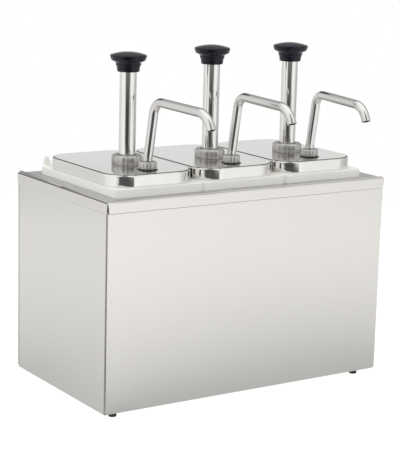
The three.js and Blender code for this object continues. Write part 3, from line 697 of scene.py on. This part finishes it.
def open_top(bm, top, outlines):
    """Opens the flat top inside each outline."""
    bmesh.ops.inset_individual(bm, faces=[top], thickness=TOP_BORDER)
    edges = list(top.edges) + [edge for outline in outlines for edge in outline.edges]
    bmesh.ops.delete(bm, geom=[top] + outlines, context="FACES_ONLY")
    bmesh.ops.triangle_fill(bm, use_beauty=True, edges=edges)


def turned_pan(width, depth, corner, edge, height, steps, hem=0):
    """A shallow pressed pan, turned over, with its top at height 0; returns the shape and its top face."""
    rings = [(width, depth, corner, -height), (width, depth, corner, -edge)]
    if hem:
        inset = hem * HEM_LEAN
        rings[:1] = [
            (width - 2 * inset, depth - 2 * inset, corner - inset, -height),
            (width, depth, corner, hem - height),
        ]
    for i in range(1, PRESS_STEPS + 1):
        angle = math.radians(90 * i / PRESS_STEPS)
        inset = min(edge * (1 - math.cos(angle)), corner - 0.05)
        rings.append((width - 2 * inset, depth - 2 * inset, corner - inset, -edge * (1 - math.sin(angle))))
    bm = bridged(rings, steps)
    return bm, max(bm.faces, key=lambda face: face.calc_area())


def painted_shade_strip(edge, start, end):
    """A test for the part of a rounded edge that lies between two turns in degrees from the top, where
    painted shade goes.
    """
    highest, lowest = (-edge * (1 - math.cos(math.radians(turn))) for turn in (start, end))
    return lambda spot: int(lowest < spot.z < highest - TOUCHING)


def lid(side):
    """The pressed lid: a rounded pan turned down over the jar's rim, with holes for pump and spout."""
    low, high = (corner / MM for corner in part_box(f"lid_{side}"))
    width, depth, height = high.x - low.x, high.y - low.y, high.z - low.z
    bm, top = turned_pan(width, depth, LID_CORNER, LID_EDGE, height, BEND_STEPS)
    holes = [
        disc(bm, PUMP_ASIDE, -PUMP_AHEAD, NECK_RADIUS + RUN_GAP, 0),
        disc(bm, PUMP_ASIDE, -PUMP_AHEAD - SPOUT_AHEAD, SPOUT_RADIUS + RUN_GAP, 0),
    ]
    open_top(bm, top, holes)
    # The lid's upper bend gets a strip of painted shade
    set_piece(
        bm, f"lid_shell_{side}", f"pump_{side}", [f"lid_{side}"], "polished_steel",
        ((low.x + high.x) / 2, (low.y + high.y) / 2, high.z), material=LID_STEEL, wall=SHEET, even=True,
        inside=(0, 0, -1), strips=[BEND_PAINTED_SHADE], strip_of=painted_shade_strip(LID_EDGE, 0, LID_SHADE_END),
    )


def open_corner_slits(bm, width, depth, height):
    """Parts the cap's skirt at its four corners, more towards its lower edge."""
    reach = (width - depth) / 2

    def on_corner(co):
        outward = min(abs(co.x) - width / 2, abs(co.y) - depth / 2)
        return outward > -CAP_CORNER - SLIT_MARGIN and co.z < NEARLY - CAP_EDGE

    def on_slit(vert):
        return on_corner(vert.co) and abs(abs(vert.co.x) - abs(vert.co.y) - reach) < NEARLY

    slits = [edge for edge in bm.edges if all(on_slit(vert) for vert in edge.verts)]
    bmesh.ops.split_edges(bm, edges=slits)
    for vert in [vert for vert in bm.verts if on_corner(vert.co)]:
        centres = [face.calc_center_median() for face in vert.link_faces]
        middle = sum(centres, Vector()) / len(centres)
        axis = int(abs(middle.x) - abs(middle.y) > reach)
        spread = SLIT_WIDTH / math.sqrt(2) * (-vert.co.z - SLIT_START) / (height - SLIT_START)
        vert.co[axis] -= math.copysign(spread, vert.co[axis])


def top_cap():
    """The sheet cap: a pan with an opening for each jar and a slit at each corner of its skirt."""
    low, high = (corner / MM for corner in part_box("top_cap"))
    middle = (low + high) / 2
    width, depth, height = high - low
    bm, top = turned_pan(width, depth, CAP_CORNER, CAP_EDGE, height, PRESS_STEPS, HEM)
    open_corner_slits(bm, width, depth, height)
    bend = painted_shade_strip(CAP_EDGE, CAP_SHADE_START, CAP_SHADE_END)

    # The flat top gets painted shade, and the bends at the left and right ends a painted dark line
    def strip_of(spot):
        if spot.z > -TOUCHING:
            return 2
        return bend(spot) if abs(spot.x) - abs(spot.y) > (width - depth) / 2 else 0

    openings = []
    for side in SIDES:
        jar_low, jar_high = (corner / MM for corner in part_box(f"jar_{side}"))
        spread = 2 * (OPENING_GAP - RIM_OVERHANG)
        opening = rounded_outline(
            bm, jar_high.x - jar_low.x + spread, jar_high.y - jar_low.y + spread,
            JAR_CORNER + OPENING_GAP, 0, JAR_STEPS,
        )
        bmesh.ops.translate(bm, verts=opening.verts, vec=((jar_low.x + jar_high.x) / 2 - middle.x, 0, 0))
        openings.append(opening)
    open_top(bm, top, openings)
    set_piece(
        bm, "sheet_cap", "cabinet", ["top_cap"], "brushed_sheet", (middle.x, middle.y, high.z),
        material=CAP_STEEL, wall=SHEET, even=True, inside=(0, 0, -1), strips=[BEND_PAINTED_SHADE, CAP_TOP_PAINTED_SHADE],
        strip_of=strip_of,
    )


def folded_sheet(outline, run, bend):
    """A sheet folded at the inner corners of its outline, which is run along a heading."""
    bm = bmesh.new()
    points = [bm.verts.new(point) for point in outline]
    edges = [bm.edges.new(pair) for pair in zip(points, points[1:])]
    far = new_edges(bmesh.ops.extrude_edge_only(bm, edges=edges))
    bmesh.ops.translate(bm, verts=list({v for e in far for v in e.verts}), vec=run)
    folds = [edge for edge in bm.edges if len(edge.link_faces) == 2]
    bmesh.ops.bevel(
        bm, geom=folds, offset=bend, segments=PRESS_STEPS, profile=0.5, affect="EDGES", material=-1,
    )
    return bm


def long_panel(width, face, reach, low, high):
    """The front or rear panel, with an upper and a lower return that stop short of its ends."""
    outline = [(face + reach, low), (face, low), (face, high), (face + TOP_RETURN, high)]
    inset = width / 2 - EASED_EDGE
    bm = folded_sheet([(-inset, y, z) for y, z in outline], (2 * inset, 0, 0), PANEL_BEND)
    for sign in (-1, 1):
        edges = [
            e for e in bm.edges
            if e.is_boundary and all(v.co.y < face + NEARLY and v.co.x * sign > 0 for v in e.verts)
        ]
        far = new_edges(bmesh.ops.extrude_edge_only(bm, edges=edges))
        verts = list({v for e in far for v in e.verts})
        bmesh.ops.translate(bm, verts=verts, vec=(sign * EASED_EDGE, EASED_DROP, 0))
    stop = width / 2 - SIDE_RETURN - RETURN_END_GAP
    for sign in (-1, 1):
        returns = [f for f in bm.faces if f.calc_center_median().y > face + PANEL_BEND]
        parts = set(returns) | {e for f in returns for e in f.edges} | {v for f in returns for v in f.verts}
        bmesh.ops.bisect_plane(
            bm, geom=list(parts), plane_co=(sign * stop, 0, 0), plane_no=(sign, 0, 0), clear_outer=True,
        )
    return bm


def weld_marks(name, width, face, at, turn):
    """The faint spot welds that hold the side panels' returns behind a long panel."""
    bm = bmesh.new()
    for x in (WELD_INSET - width / 2, width / 2 - WELD_INSET):
        for z in WELD_HEIGHTS:
            size = Matrix.Diagonal((WELD_RADIUS, WELD_HEIGHT, WELD_RADIUS, 1))
            place = Matrix.Translation((x, face, z)) @ size
            bmesh.ops.create_uvsphere(bm, u_segments=24, v_segments=12, radius=1, matrix=place)
    set_piece(bm, name, "cabinet", [], "brushed_sheet", at, turn)


def cabinet_panels():
    """The four panels, folded from brushed sheet."""
    low, high = (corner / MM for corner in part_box("front_panel"))
    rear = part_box("rear_panel")[1].y / MM
    middle = (low.y + rear) / 2
    face, width = low.y - middle, high.x - low.x
    for name, turn in (("front", 0), ("rear", math.pi)):
        bm = long_panel(width, face, high.y - low.y, low.z, high.z)
        set_piece(
            bm, f"sheet_{name}", "cabinet", [f"{name}_panel"], "brushed_sheet", (0, middle, 0), turn,
            wall=SHEET, even=True, inside=(0, 0, low.z),
        )
        weld_marks(f"weld_marks_{name}", width, face, (0, middle, 0), turn)
    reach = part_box("left_panel")[1].y / MM - middle
    for name, turn in (("left", 0), ("right", math.pi)):
        outline = [(SIDE_RETURN, -reach), (0, -reach), (0, reach), (SIDE_RETURN, reach)]
        outline = [(x - width / 2, y, low.z) for x, y in outline]
        bm = folded_sheet(outline, (0, 0, high.z - low.z), CORNER_BEND)
        flat = reach - CORNER_BEND
        # Each side panel's corner bends get a strip of painted shade
        set_piece(
            bm, f"sheet_{name}", "cabinet", [f"{name}_panel"], "brushed_sheet", (0, middle, 0), turn,
            wall=SHEET, even=True, inside=(0, 0, low.z), strips=[CORNER_PAINTED_SHADE],
            strip_of=lambda spot: int(abs(spot.y) > flat and spot.x < CORNER_BEND - width / 2),
        )


def jar(side):
    """The moulded jar: a tub that narrows downwards, under a turned-down rim."""
    low, high = (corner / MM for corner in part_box(f"jar_{side}"))
    x, y = (low.x + high.x) / 2, (low.y + high.y) / 2
    width, depth = high.x - low.x, high.y - low.y
    top = high.z - EAR_HEIGHT + RIM_LIFT
    tub_width, tub_depth = width - 2 * RIM_OVERHANG, depth - 2 * RIM_OVERHANG

    def tub(inset, height):
        return tub_width - 2 * inset, tub_depth - 2 * inset, JAR_CORNER - inset, height

    def rim(inset, height):
        return width - 2 * inset, depth - 2 * inset, RIM_CORNER - inset, height

    edge = JAR_TAPER - JAR_TAPER * JAR_BOTTOM_EDGE / (top - low.z)
    rings = [
        tub(JAR_TAPER + 6, low.z),
        tub(JAR_TAPER + 2.2, low.z + 0.8),
        tub(edge + 0.5, low.z + 3),
        tub(edge, low.z + JAR_BOTTOM_EDGE),
        tub(0, top - RIM_WALL),
        rim(RIM_WALL, top - RIM_WALL),
        rim(RIM_WALL, top - RIM_HEIGHT),
        rim(0, top - RIM_HEIGHT),
        rim(0, top - 0.5),
        rim(0.15, top - 0.15),
        rim(0.5, top),
        tub(JAR_WALL - 0.8, top),
        tub(JAR_WALL, top - 0.8),
        tub(edge + JAR_WALL, low.z + JAR_BOTTOM_EDGE),
        tub(JAR_TAPER + 2.2 + JAR_WALL, low.z + JAR_WALL + 0.8),
        tub(JAR_TAPER + 6 + JAR_WALL, low.z + JAR_WALL),
    ]
    bm = bridged(rings, JAR_STEPS, bottom=True)
    set_piece(
        bm, f"jar_shell_{side}", f"jar_{side}", [f"jar_{side}"], "white_plastic", (x, y, 0), even=True,
    )


def jar_ears(side):
    """Two lugs that stand on the rim's rear edge, for lifting the jar out."""
    low, high = (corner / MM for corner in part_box(f"jar_{side}"))
    half = (high.x - low.x) / 2
    rim_top = high.z - EAR_HEIGHT
    for name, sign in (("a", -1), ("b", 1)):
        bm = bmesh.new()
        corners = [(sign * (half - EAR_INSET - x), 0, z) for x, z in EAR_OUTLINE]
        face = bm.faces.new([bm.verts.new(corner) for corner in corners])
        soft = [v for v in face.verts if v.co.z > 1]
        bmesh.ops.bevel(
            bm, geom=soft, offset=EAR_CORNER, segments=PRESS_STEPS, profile=0.5, affect="VERTICES",
            material=-1,
        )
        made = bmesh.ops.extrude_face_region(bm, geom=list(bm.faces))
        lifted = [v for v in made["geom"] if isinstance(v, bmesh.types.BMVert)]
        bmesh.ops.translate(bm, verts=lifted, vec=(0, -EAR_THICKNESS, 0))
        bmesh.ops.recalc_face_normals(bm, faces=bm.faces)
        round_edges(bm, EAR_EDGE)
        place = ((low.x + high.x) / 2, high.y - 0.1, rim_top)
        set_piece(
            bm, f"jar_ear_{side}_{name}", f"jar_{side}", [], "white_plastic", place, material=EAR_PLASTIC_MORE_PAINTED_GLOW,
        )


def knob(side):
    """The push knob: a low dome over a drawn-in rim and a flared neck, hollow where the sleeve goes in."""
    x, y, low, high = middle_of(f"knob_{side}")
    wide = high - KNOB_DOME
    brow, brow_drop = KNOB_RADIUS - 1.2, KNOB_DOME - 1.1
    dome_radius = (brow**2 + brow_drop**2) / (2 * brow_drop)
    swing = math.degrees(math.asin(brow / dome_radius))
    dome = arc((0, high - dome_radius), dome_radius, 90, 90 - swing, BEND_STEPS)
    skirt = [(radius, wide + rise) for radius, rise in KNOB_SKIRT]
    mouth = [
        (KNOB_NECK_RADIUS, low + 0.8), (KNOB_NECK_RADIUS - 0.2, low + 0.2),
        (KNOB_NECK_RADIUS - 0.7, low), (SLEEVE_RADIUS + 0.8, low),
    ]
    bore, seat = SLEEVE_RADIUS + RUN_GAP, low + KNOB_SOCKET
    socket = [(bore, low + 0.4), (bore, seat), (0, seat)]
    bm = turned(dome + skirt + mouth + socket, WIDE_STEPS, closed=False)
    set_piece(
        bm, f"push_knob_{side}", f"plunger_{side}", [f"knob_{side}"], "black_plastic", (x, y, 0), crease=50,
    )


def sleeve(side):
    """The bright tube between the knob and the pump."""
    x, y, low, high = middle_of(f"plunger_sleeve_{side}")
    inner = SLEEVE_RADIUS - SLEEVE_WALL
    bm = turned([(inner, low), (SLEEVE_RADIUS, low), (SLEEVE_RADIUS, high), (inner, high)], SLEEVE_STEPS)
    round_edges(bm, TURNED_EDGE)
    set_piece(
        bm, f"bright_sleeve_{side}", f"plunger_{side}", [f"plunger_sleeve_{side}"],
        "polished_steel", (x, y, 0),
    )


def collar(side):
    """The lobed nut that clamps the pump to its lid."""
    x, y, low, high = middle_of(f"pump_collar_{side}")
    radius = (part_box(f"pump_collar_{side}")[1].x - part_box(f"pump_collar_{side}")[0].x) / (2 * MM)
    bm = lobed_nut(
        radius, COLLAR_FLUTE, COLLAR_LOBES, COLLAR_CHAMFER, low - COLLAR_DROP, high,
        NECK_RADIUS + RUN_GAP, COLLAR_LIP, COLLAR_THROAT,
    )
    set_piece(
        bm, f"grip_collar_{side}", f"pump_{side}", [f"pump_collar_{side}"],
        "satin_steel", (x, y, 0), crease=45,
    )


def gland(side):
    """The small nut round the spout, and the ring under it."""
    x, y, low, high = middle_of(f"spout_nut_{side}")
    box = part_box(f"spout_nut_{side}")
    radius = (box[1].x - box[0].x) / (2 * MM)
    bm = lobed_nut(
        radius, GLAND_FLUTE, GLAND_LOBES, GLAND_CHAMFER, low - GLAND_DROP, high,
        SPOUT_RADIUS + RUN_GAP, GLAND_LIP, GLAND_THROAT,
    )
    set_piece(
        bm, f"gland_nut_{side}", f"pump_{side}", [f"spout_nut_{side}"], "satin_steel", (x, y, 0), crease=45,
        material=GLAND_STEEL,
    )
    x, y, low, _ = middle_of(f"spout_gasket_{side}")
    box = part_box(f"spout_gasket_{side}")
    radius = (box[1].x - box[0].x) / (2 * MM)
    inner = SPOUT_RADIUS + RUN_GAP
    bottom = low - GLAND_RING_DROP
    bm = turned([
        (inner, bottom), (radius, bottom), (radius, low - GLAND_RING_SLOPE),
        (inner, low + GLAND_RING_SLOPE),
    ], RING_STEPS)
    set_piece(
        bm, f"gland_ring_{side}", f"pump_{side}", [f"spout_gasket_{side}"], "seal_rubber", (x, y, 0),
    )


def run_tube(bm, edges, heading, length):
    """Lengthens a tube along its heading."""
    far = new_edges(bmesh.ops.extrude_edge_only(bm, edges=edges))
    verts = list({v for e in far for v in e.verts})
    bmesh.ops.translate(bm, verts=verts, vec=heading * length)
    return far


def bend_tube(bm, edges, heading, radius, angle):
    """Bends a tube in the plane of its spout; a positive angle leans it towards -Y."""
    verts = {v for e in edges for v in e.verts}
    middle = sum((v.co for v in verts), Vector()) / len(verts)
    sideways = Vector((1, 0, 0)).cross(heading).normalized()
    centre = middle + sideways * radius
    spun = bmesh.ops.spin(bm, geom=edges, cent=centre, axis=(1, 0, 0), angle=angle, steps=BEND_STEPS)
    far = [e for e in spun["geom_last"] if isinstance(e, bmesh.types.BMEdge)]
    return far, Matrix.Rotation(angle, 3, "X") @ heading


def spout(side):
    """The bent spout tube, from its seat in the valve body to its open tip."""
    seat = (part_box(f"spout_{side}")[0] / MM).z
    nut_x, nut_y = middle_of(f"spout_nut_{side}")[:2]
    lid_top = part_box(f"lid_{side}")[1].z / MM
    riser_top = RISER_TOPS[side]
    elbow = (riser_top - RISER_START) * math.tan(RISER_LEAN)
    nose_top = riser_top - (SPOUT_REACH - elbow) * math.tan(ARM_SLOPE)
    corners = [
        Vector((0, seat - lid_top)), Vector((0, RISER_START)), Vector((elbow, riser_top)),
        Vector((SPOUT_REACH, nose_top)),
        Vector((SPOUT_REACH + TIP_DROP * math.tan(TIP_SPLAY), nose_top - TIP_DROP)),
    ]
    runs = [b - a for a, b in zip(corners, corners[1:])]
    turns = [math.atan2(run.x, run.y) for run in runs]
    bends = [b - a for a, b in zip(turns, turns[1:])]
    radii = [LEAN_BEND, ELBOW_BEND, TIP_BEND]
    cuts = [0] + [r * math.tan(abs(b) / 2) for r, b in zip(radii, bends)] + [0]
    bm = bmesh.new()
    bmesh.ops.create_circle(bm, segments=TUBE_STEPS, radius=SPOUT_RADIUS)
    bmesh.ops.translate(bm, verts=bm.verts, vec=(0, 0, corners[0].y))
    edges, heading = list(bm.edges), Vector((0, 0, 1))
    for i, run in enumerate(runs):
        edges = run_tube(bm, edges, heading, run.length - cuts[i] - cuts[i + 1])
        if i < len(bends):
            edges, heading = bend_tube(bm, edges, heading, radii[i], bends[i])
    set_piece(
        bm, f"spout_tube_{side}", f"pump_{side}", [f"spout_{side}"], "polished_steel",
        (nut_x, nut_y, lid_top), SPOUT_TURNS[side], material=SPOUT_STEEL, wall=SPOUT_WALL,
    )


def cylinder(side):
    """The pump's barrel under the lid, with its neck and flange."""
    x, y, low, high = middle_of(f"pump_cylinder_{side}")
    outer = BORE_RADIUS + CYLINDER_WALL
    flange_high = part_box(f"pump_washer_{side}")[0].z / MM - RUN_GAP
    flange_low = flange_high - FLANGE_THICKNESS
    guide = SLEEVE_RADIUS + RUN_GAP
    bm = turned([
        (BORE_RADIUS, low), (outer, low), (outer, flange_low), (FLANGE_RADIUS, flange_low),
        (FLANGE_RADIUS, flange_high), (NECK_RADIUS, flange_high), (NECK_RADIUS, high), (guide, high),
        (guide, high - GUIDE_LENGTH), (BORE_RADIUS, high - GUIDE_LENGTH),
    ], WIDE_STEPS)
    round_edges(bm, TURNED_EDGE, 2)
    set_piece(
        bm, f"pump_barrel_{side}", f"pump_{side}", [f"pump_cylinder_{side}"], "polished_steel", (x, y, 0),
    )


def ring(name, node, body, inner, outer):
    """A rubber washer or seal with rounded edges."""
    x, y, low, high = middle_of(node)
    bm = turned([(inner, low), (outer, low), (outer, high), (inner, high)], RING_STEPS)
    round_edges(bm, RUBBER_EDGE)
    set_piece(bm, name, body, [node], "seal_rubber", (x, y, 0))


def piston(side):
    """The rod, with the piston head on its lower end and a groove for the seal."""
    x, y, low, high = middle_of(f"piston_rod_{side}")
    head = BORE_RADIUS - PISTON_GAP
    groove = BORE_RADIUS - RUN_GAP - SEAL_DEPTH - RUN_GAP
    middle = low + PISTON_THICKNESS / 2
    half = SEAL_HEIGHT / 2 + RUN_GAP
    top = low + PISTON_THICKNESS
    bm = turned([
        (0, low), (head, low), (head, middle - half), (groove, middle - half), (groove, middle + half),
        (head, middle + half), (head, top), (ROD_RADIUS, top), (ROD_RADIUS, high), (0, high),
    ], ROD_STEPS, closed=False)
    round_edges(bm, TURNED_EDGE, 2)
    set_piece(
        bm, f"plunger_rod_{side}", f"plunger_{side}", [f"piston_rod_{side}"], "polished_steel", (x, y, 0),
    )


def spring(side):
    """The return spring, which shortens as the knob goes down."""
    node = f"return_spring_{side}"
    low, high = middle_of(node)[2:]
    x, y = middle_of(f"pump_cylinder_{side}")[:2]
    start, end = low + SPRING_WIRE, high - SPRING_WIRE
    steps = SPRING_TURNS * SPRING_STEPS
    bm = bmesh.new()
    place = Matrix.Translation((SPRING_RADIUS, 0, start)) @ Matrix.Rotation(math.pi / 2, 4, "X")
    bmesh.ops.create_circle(bm, segments=WIRE_STEPS, radius=SPRING_WIRE, matrix=place)
    bmesh.ops.spin(
        bm, geom=list(bm.verts) + list(bm.edges), axis=(0, 0, 1), dvec=(0, 0, (end - start) / steps),
        angle=SPRING_TURNS * math.tau, steps=steps,
    )
    bmesh.ops.holes_fill(bm, edges=[e for e in bm.edges if e.is_boundary], sides=0)
    made = set_piece(
        bm, f"coil_spring_{side}", f"pump_{side}", [node], "spring_steel", (x, y, 0), crease=60,
    )
    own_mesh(made)


def ball(side):
    """The inlet ball in its chamber."""
    x, y, low, high = middle_of(f"inlet_ball_{side}")
    bm = turned(arc((0, (low + high) / 2), BALL_RADIUS, -90, 90, ROD_STEPS // 2), ROD_STEPS, closed=False)
    set_piece(
        bm, f"valve_ball_{side}", f"pump_{side}", [f"inlet_ball_{side}"], "polished_steel", (x, y, 0),
    )


def valve_body(side):
    """The cast valve body: the round housing under the barrel, its arm, and the port under the spout."""
    low, high = (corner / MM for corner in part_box(f"valve_body_{side}"))
    x, y = middle_of(f"pump_cylinder_{side}")[:2]
    base = low.z
    top = base + VALVE_HEIGHT
    ledge = top - VALVE_SOCKET
    chamber = ledge - LEDGE_THICKNESS
    seat = chamber - CHAMBER_HEIGHT
    socket = BORE_RADIUS + CYLINDER_WALL + RUN_GAP
    housing = turned([
        (INLET_RADIUS, base), (VALVE_RADIUS, base), (VALVE_RADIUS, top), (socket, top), (socket, ledge),
        (LEDGE_RADIUS, ledge), (LEDGE_RADIUS, chamber), (CHAMBER_RADIUS, chamber), (CHAMBER_RADIUS, seat),
        (INLET_RADIUS, seat),
    ], WIDE_STEPS)
    arm_low, arm_high = base + ARM_RISE, base + ARM_RISE + ARM_HEIGHT
    bore = SPOUT_RADIUS + RUN_GAP
    inner = SPOUT_RADIUS - SPOUT_WALL
    middle = (arm_low + arm_high) / 2
    port = turned([
        (0, arm_low), (PORT_RADIUS, arm_low), (PORT_RADIUS, high.z), (bore, high.z),
        (bore, high.z - PORT_SEAT), (inner, high.z - PORT_SEAT), (inner, middle), (0, middle),
    ], PORT_STEPS, closed=False)
    for shape, edge in ((housing, HOUSING_EDGE), (port, PORT_EDGE)):
        round_edges(shape, edge)
    bmesh.ops.translate(port, verts=port.verts, vec=(0, -SPOUT_AHEAD, 0))
    arm = bmesh.new()
    near, far = -CHAMBER_RADIUS - ARM_BITE, PORT_RADIUS - ARM_BITE - SPOUT_AHEAD
    size = Matrix.Diagonal((ARM_WIDTH, near - far, ARM_HEIGHT, 1))
    place = Matrix.Translation((0, (near + far) / 2, middle)) @ size
    bmesh.ops.create_cube(arm, size=1, matrix=place)
    round_edges(arm, ARM_EDGE)
    set_piece(
        gathered([housing, port, arm]), f"pump_valve_{side}", f"pump_{side}", [f"valve_body_{side}"],
        "satin_steel", (x, y, 0),
    )


def feet():
    """The rubber feet and the screws up in their recesses."""
    for end in ("front", "rear"):
        for side in ("left", "right"):
            node = f"foot_{end}_{side}"
            x, y, low, high = middle_of(node)
            bm = turned([
                (2.8, low), (4.4, low), (4.8, high), (1.8, high), (1.8, low + 3.4), (2.8, low + 3.4),
            ], FOOT_STEPS)
            round_edges(bm, FOOT_EDGE)
            set_piece(bm, f"rubber_{node}", "cabinet", [node], "foot_rubber", (x, y, 0))
            screw = f"foot_screw_{end}_{side}"
            x, y, low, high = middle_of(screw)
            bm = turned([
                (0, low + 0.9), (0.9, low + 0.9), (1.0, low), (1.7, low + 0.05), (2.3, low + 0.4),
                (2.5, low + 0.9), (2.5, low + 1.8), (1.5, low + 1.8), (1.5, high), (0, high),
            ], FOOT_STEPS, closed=False)
            set_piece(bm, f"pan_{screw}", "cabinet", [screw], "satin_steel", (x, y, 0))


def dress_frame_parts():
    """Gives each part its finish, also those that keep their CAD shape."""
    for entry in frame["record"]["subparts"]:
        node = frame["nodes"].get(entry.get("node") or entry.get("name"))
        node.data.materials.clear()
        node.data.materials.append(FINISHES[entry["material_slot"]])


def tones(stops):
    """The stops of a ramp for tones at bearings in degrees, with the front at 0 and the left at 90."""
    return [(0.5 + bearing / 360, tone) for bearing, tone in stops]


def studio():
    """Soft light all round: bright left and right, a dark gap where the camera stands, and a ceiling."""
    make = Finish(bpy.data.worlds.new("studio"))
    bpy.context.scene.world = make.owner
    x, y, z = make.axes("Generated")
    bearing = (-x).bearing(-y)
    rise = z * 0.5 + 0.5
    upper, foot = (make.ramp(bearing, tones(stops)) for stops in (STUDIO_RING, STUDIO_FOOT))
    ring = make.blend(make.ramp(rise, RING_START), foot, upper)
    level = make.blend(make.ramp(rise, BACK_START), ring, make.ramp(bearing, tones(STUDIO_BACK)))
    shade = make.blend(make.ramp(rise, HIGH_START), level, make.ramp(bearing, tones(STUDIO_HIGH)))
    above = make.blend(make.ramp(rise, CEILING_START), shade, CEILING)
    gap = make.ramp(bearing, tones(STUDIO_GAP)) * make.ramp(rise, GAP_REACH)
    glow = above * (1 - gap)
    lit = make.node("ShaderNodeBackground", {}, {"Color": glow, "Strength": STUDIO_STRENGTH})
    plain = make.node("ShaderNodeBackground", {}, {"Color": (1, 1, 1, 1), "Strength": 1.0})
    seen = make.node("ShaderNodeLightPath", output="Is Camera Ray")
    both = make.node("ShaderNodeMixShader", {}, {0: seen, 1: lit, 2: plain})
    make.node("ShaderNodeOutputWorld", {}, {"Surface": both})


def floor_paint(name):
    """Matt white floor, whose light onto the part fades beside the cabinet and towards the camera."""
    make = finish(name)
    x, y, _ = make.axes("Object")
    low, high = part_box("base_plate")
    beside = (((x * x) ** 0.5) - high.x).most(0)
    middle = (low.y + high.y) / 2
    ahead = ((((y - middle) ** 2) ** 0.5) - (high.y - middle)).most(0)
    away = (beside * beside + ahead * ahead) ** 0.5
    bearing = (low.x - x).bearing(low.y - y)
    far = make.ramp(bearing, tones(FLOOR_RING))
    near = make.ramp(bearing, tones(FLOOR_NEAR))
    loss = make.ramp(bearing, tones(FLOOR_LOSS)) * make.ramp(away, FLOOR_FADE)
    thrown = make.blend(make.ramp(away, FLOOR_NEAR_END), near, far) * (1 - loss)
    cloud = make.noise([3, 3, 3], 3, 0.5)
    colour = make.blend(cloud, (0.9, 0.9, 0.9, 1), (0.93, 0.93, 0.93, 1))
    paint = make.node("ShaderNodeBsdfDiffuse", {}, {"Color": colour})
    white = make.node("ShaderNodeEmission", {}, {"Color": (1, 1, 1, 1), "Strength": FLOOR_WHITE})
    light = make.node("ShaderNodeEmission", {}, {"Color": thrown, "Strength": STUDIO_STRENGTH})
    shown = make.node("ShaderNodeMixShader", {}, {0: FLOOR_WHITE_SHARE, 1: paint, 2: white})
    seen = make.node("ShaderNodeLightPath", output="Is Camera Ray")
    both = make.node("ShaderNodeMixShader", {}, {0: seen, 1: light, 2: shown})
    make.node("ShaderNodeOutputMaterial", {}, {"Surface": both})
    return make.owner


def floor():
    """The floor, which is no part of the object."""
    bm = bmesh.new()
    bmesh.ops.create_circle(bm, cap_ends=True, segments=128, radius=FLOOR_RADIUS * MM)
    mesh = bpy.data.meshes.new("floor")
    bm.to_mesh(mesh)
    bm.free()
    mesh.materials.append(floor_paint("floor_paint"))
    made = bpy.data.objects.new("floor", mesh)
    bpy.context.scene.collection.objects.link(made)


def camera():
    """The camera, where the photograph was taken."""
    data = bpy.data.cameras.new("camera")
    data.lens = CAMERA_LENS
    data.sensor_width = CAMERA_SENSOR
    made = bpy.data.objects.new("camera", data)
    bpy.context.scene.collection.objects.link(made)
    facing = Euler((math.pi / 2 - CAMERA_RISE, 0, -CAMERA_TURN)).to_matrix()
    facing = facing @ Matrix.Rotation(CAMERA_ROLL, 3, "Z")
    spot = (CAMERA_AIM + facing @ Vector((0, 0, CAMERA_DISTANCE))) * MM
    made.matrix_world = Matrix.Translation(spot) @ facing.to_4x4()
    bpy.context.scene.camera = made


camera()
studio()
floor()
bpy.context.scene.view_settings.view_transform = "Standard"
dress_frame_parts()
cabinet_panels()
top_cap()
feet()
for side in SIDES:
    jar(side)
    jar_ears(side)
    lid(side)
    knob(side)
    sleeve(side)
    collar(side)
    gland(side)
    spout(side)
    cylinder(side)
    ring(
        f"flange_washer_{side}", f"pump_washer_{side}", f"pump_{side}",
        NECK_RADIUS + RUN_GAP, WASHER_RADIUS,
    )
    ring(
        f"piston_ring_{side}", f"piston_seal_{side}", f"plunger_{side}",
        BORE_RADIUS - RUN_GAP - SEAL_DEPTH, BORE_RADIUS - RUN_GAP,
    )
    piston(side)
    spring(side)
    ball(side)
    valve_body(side)
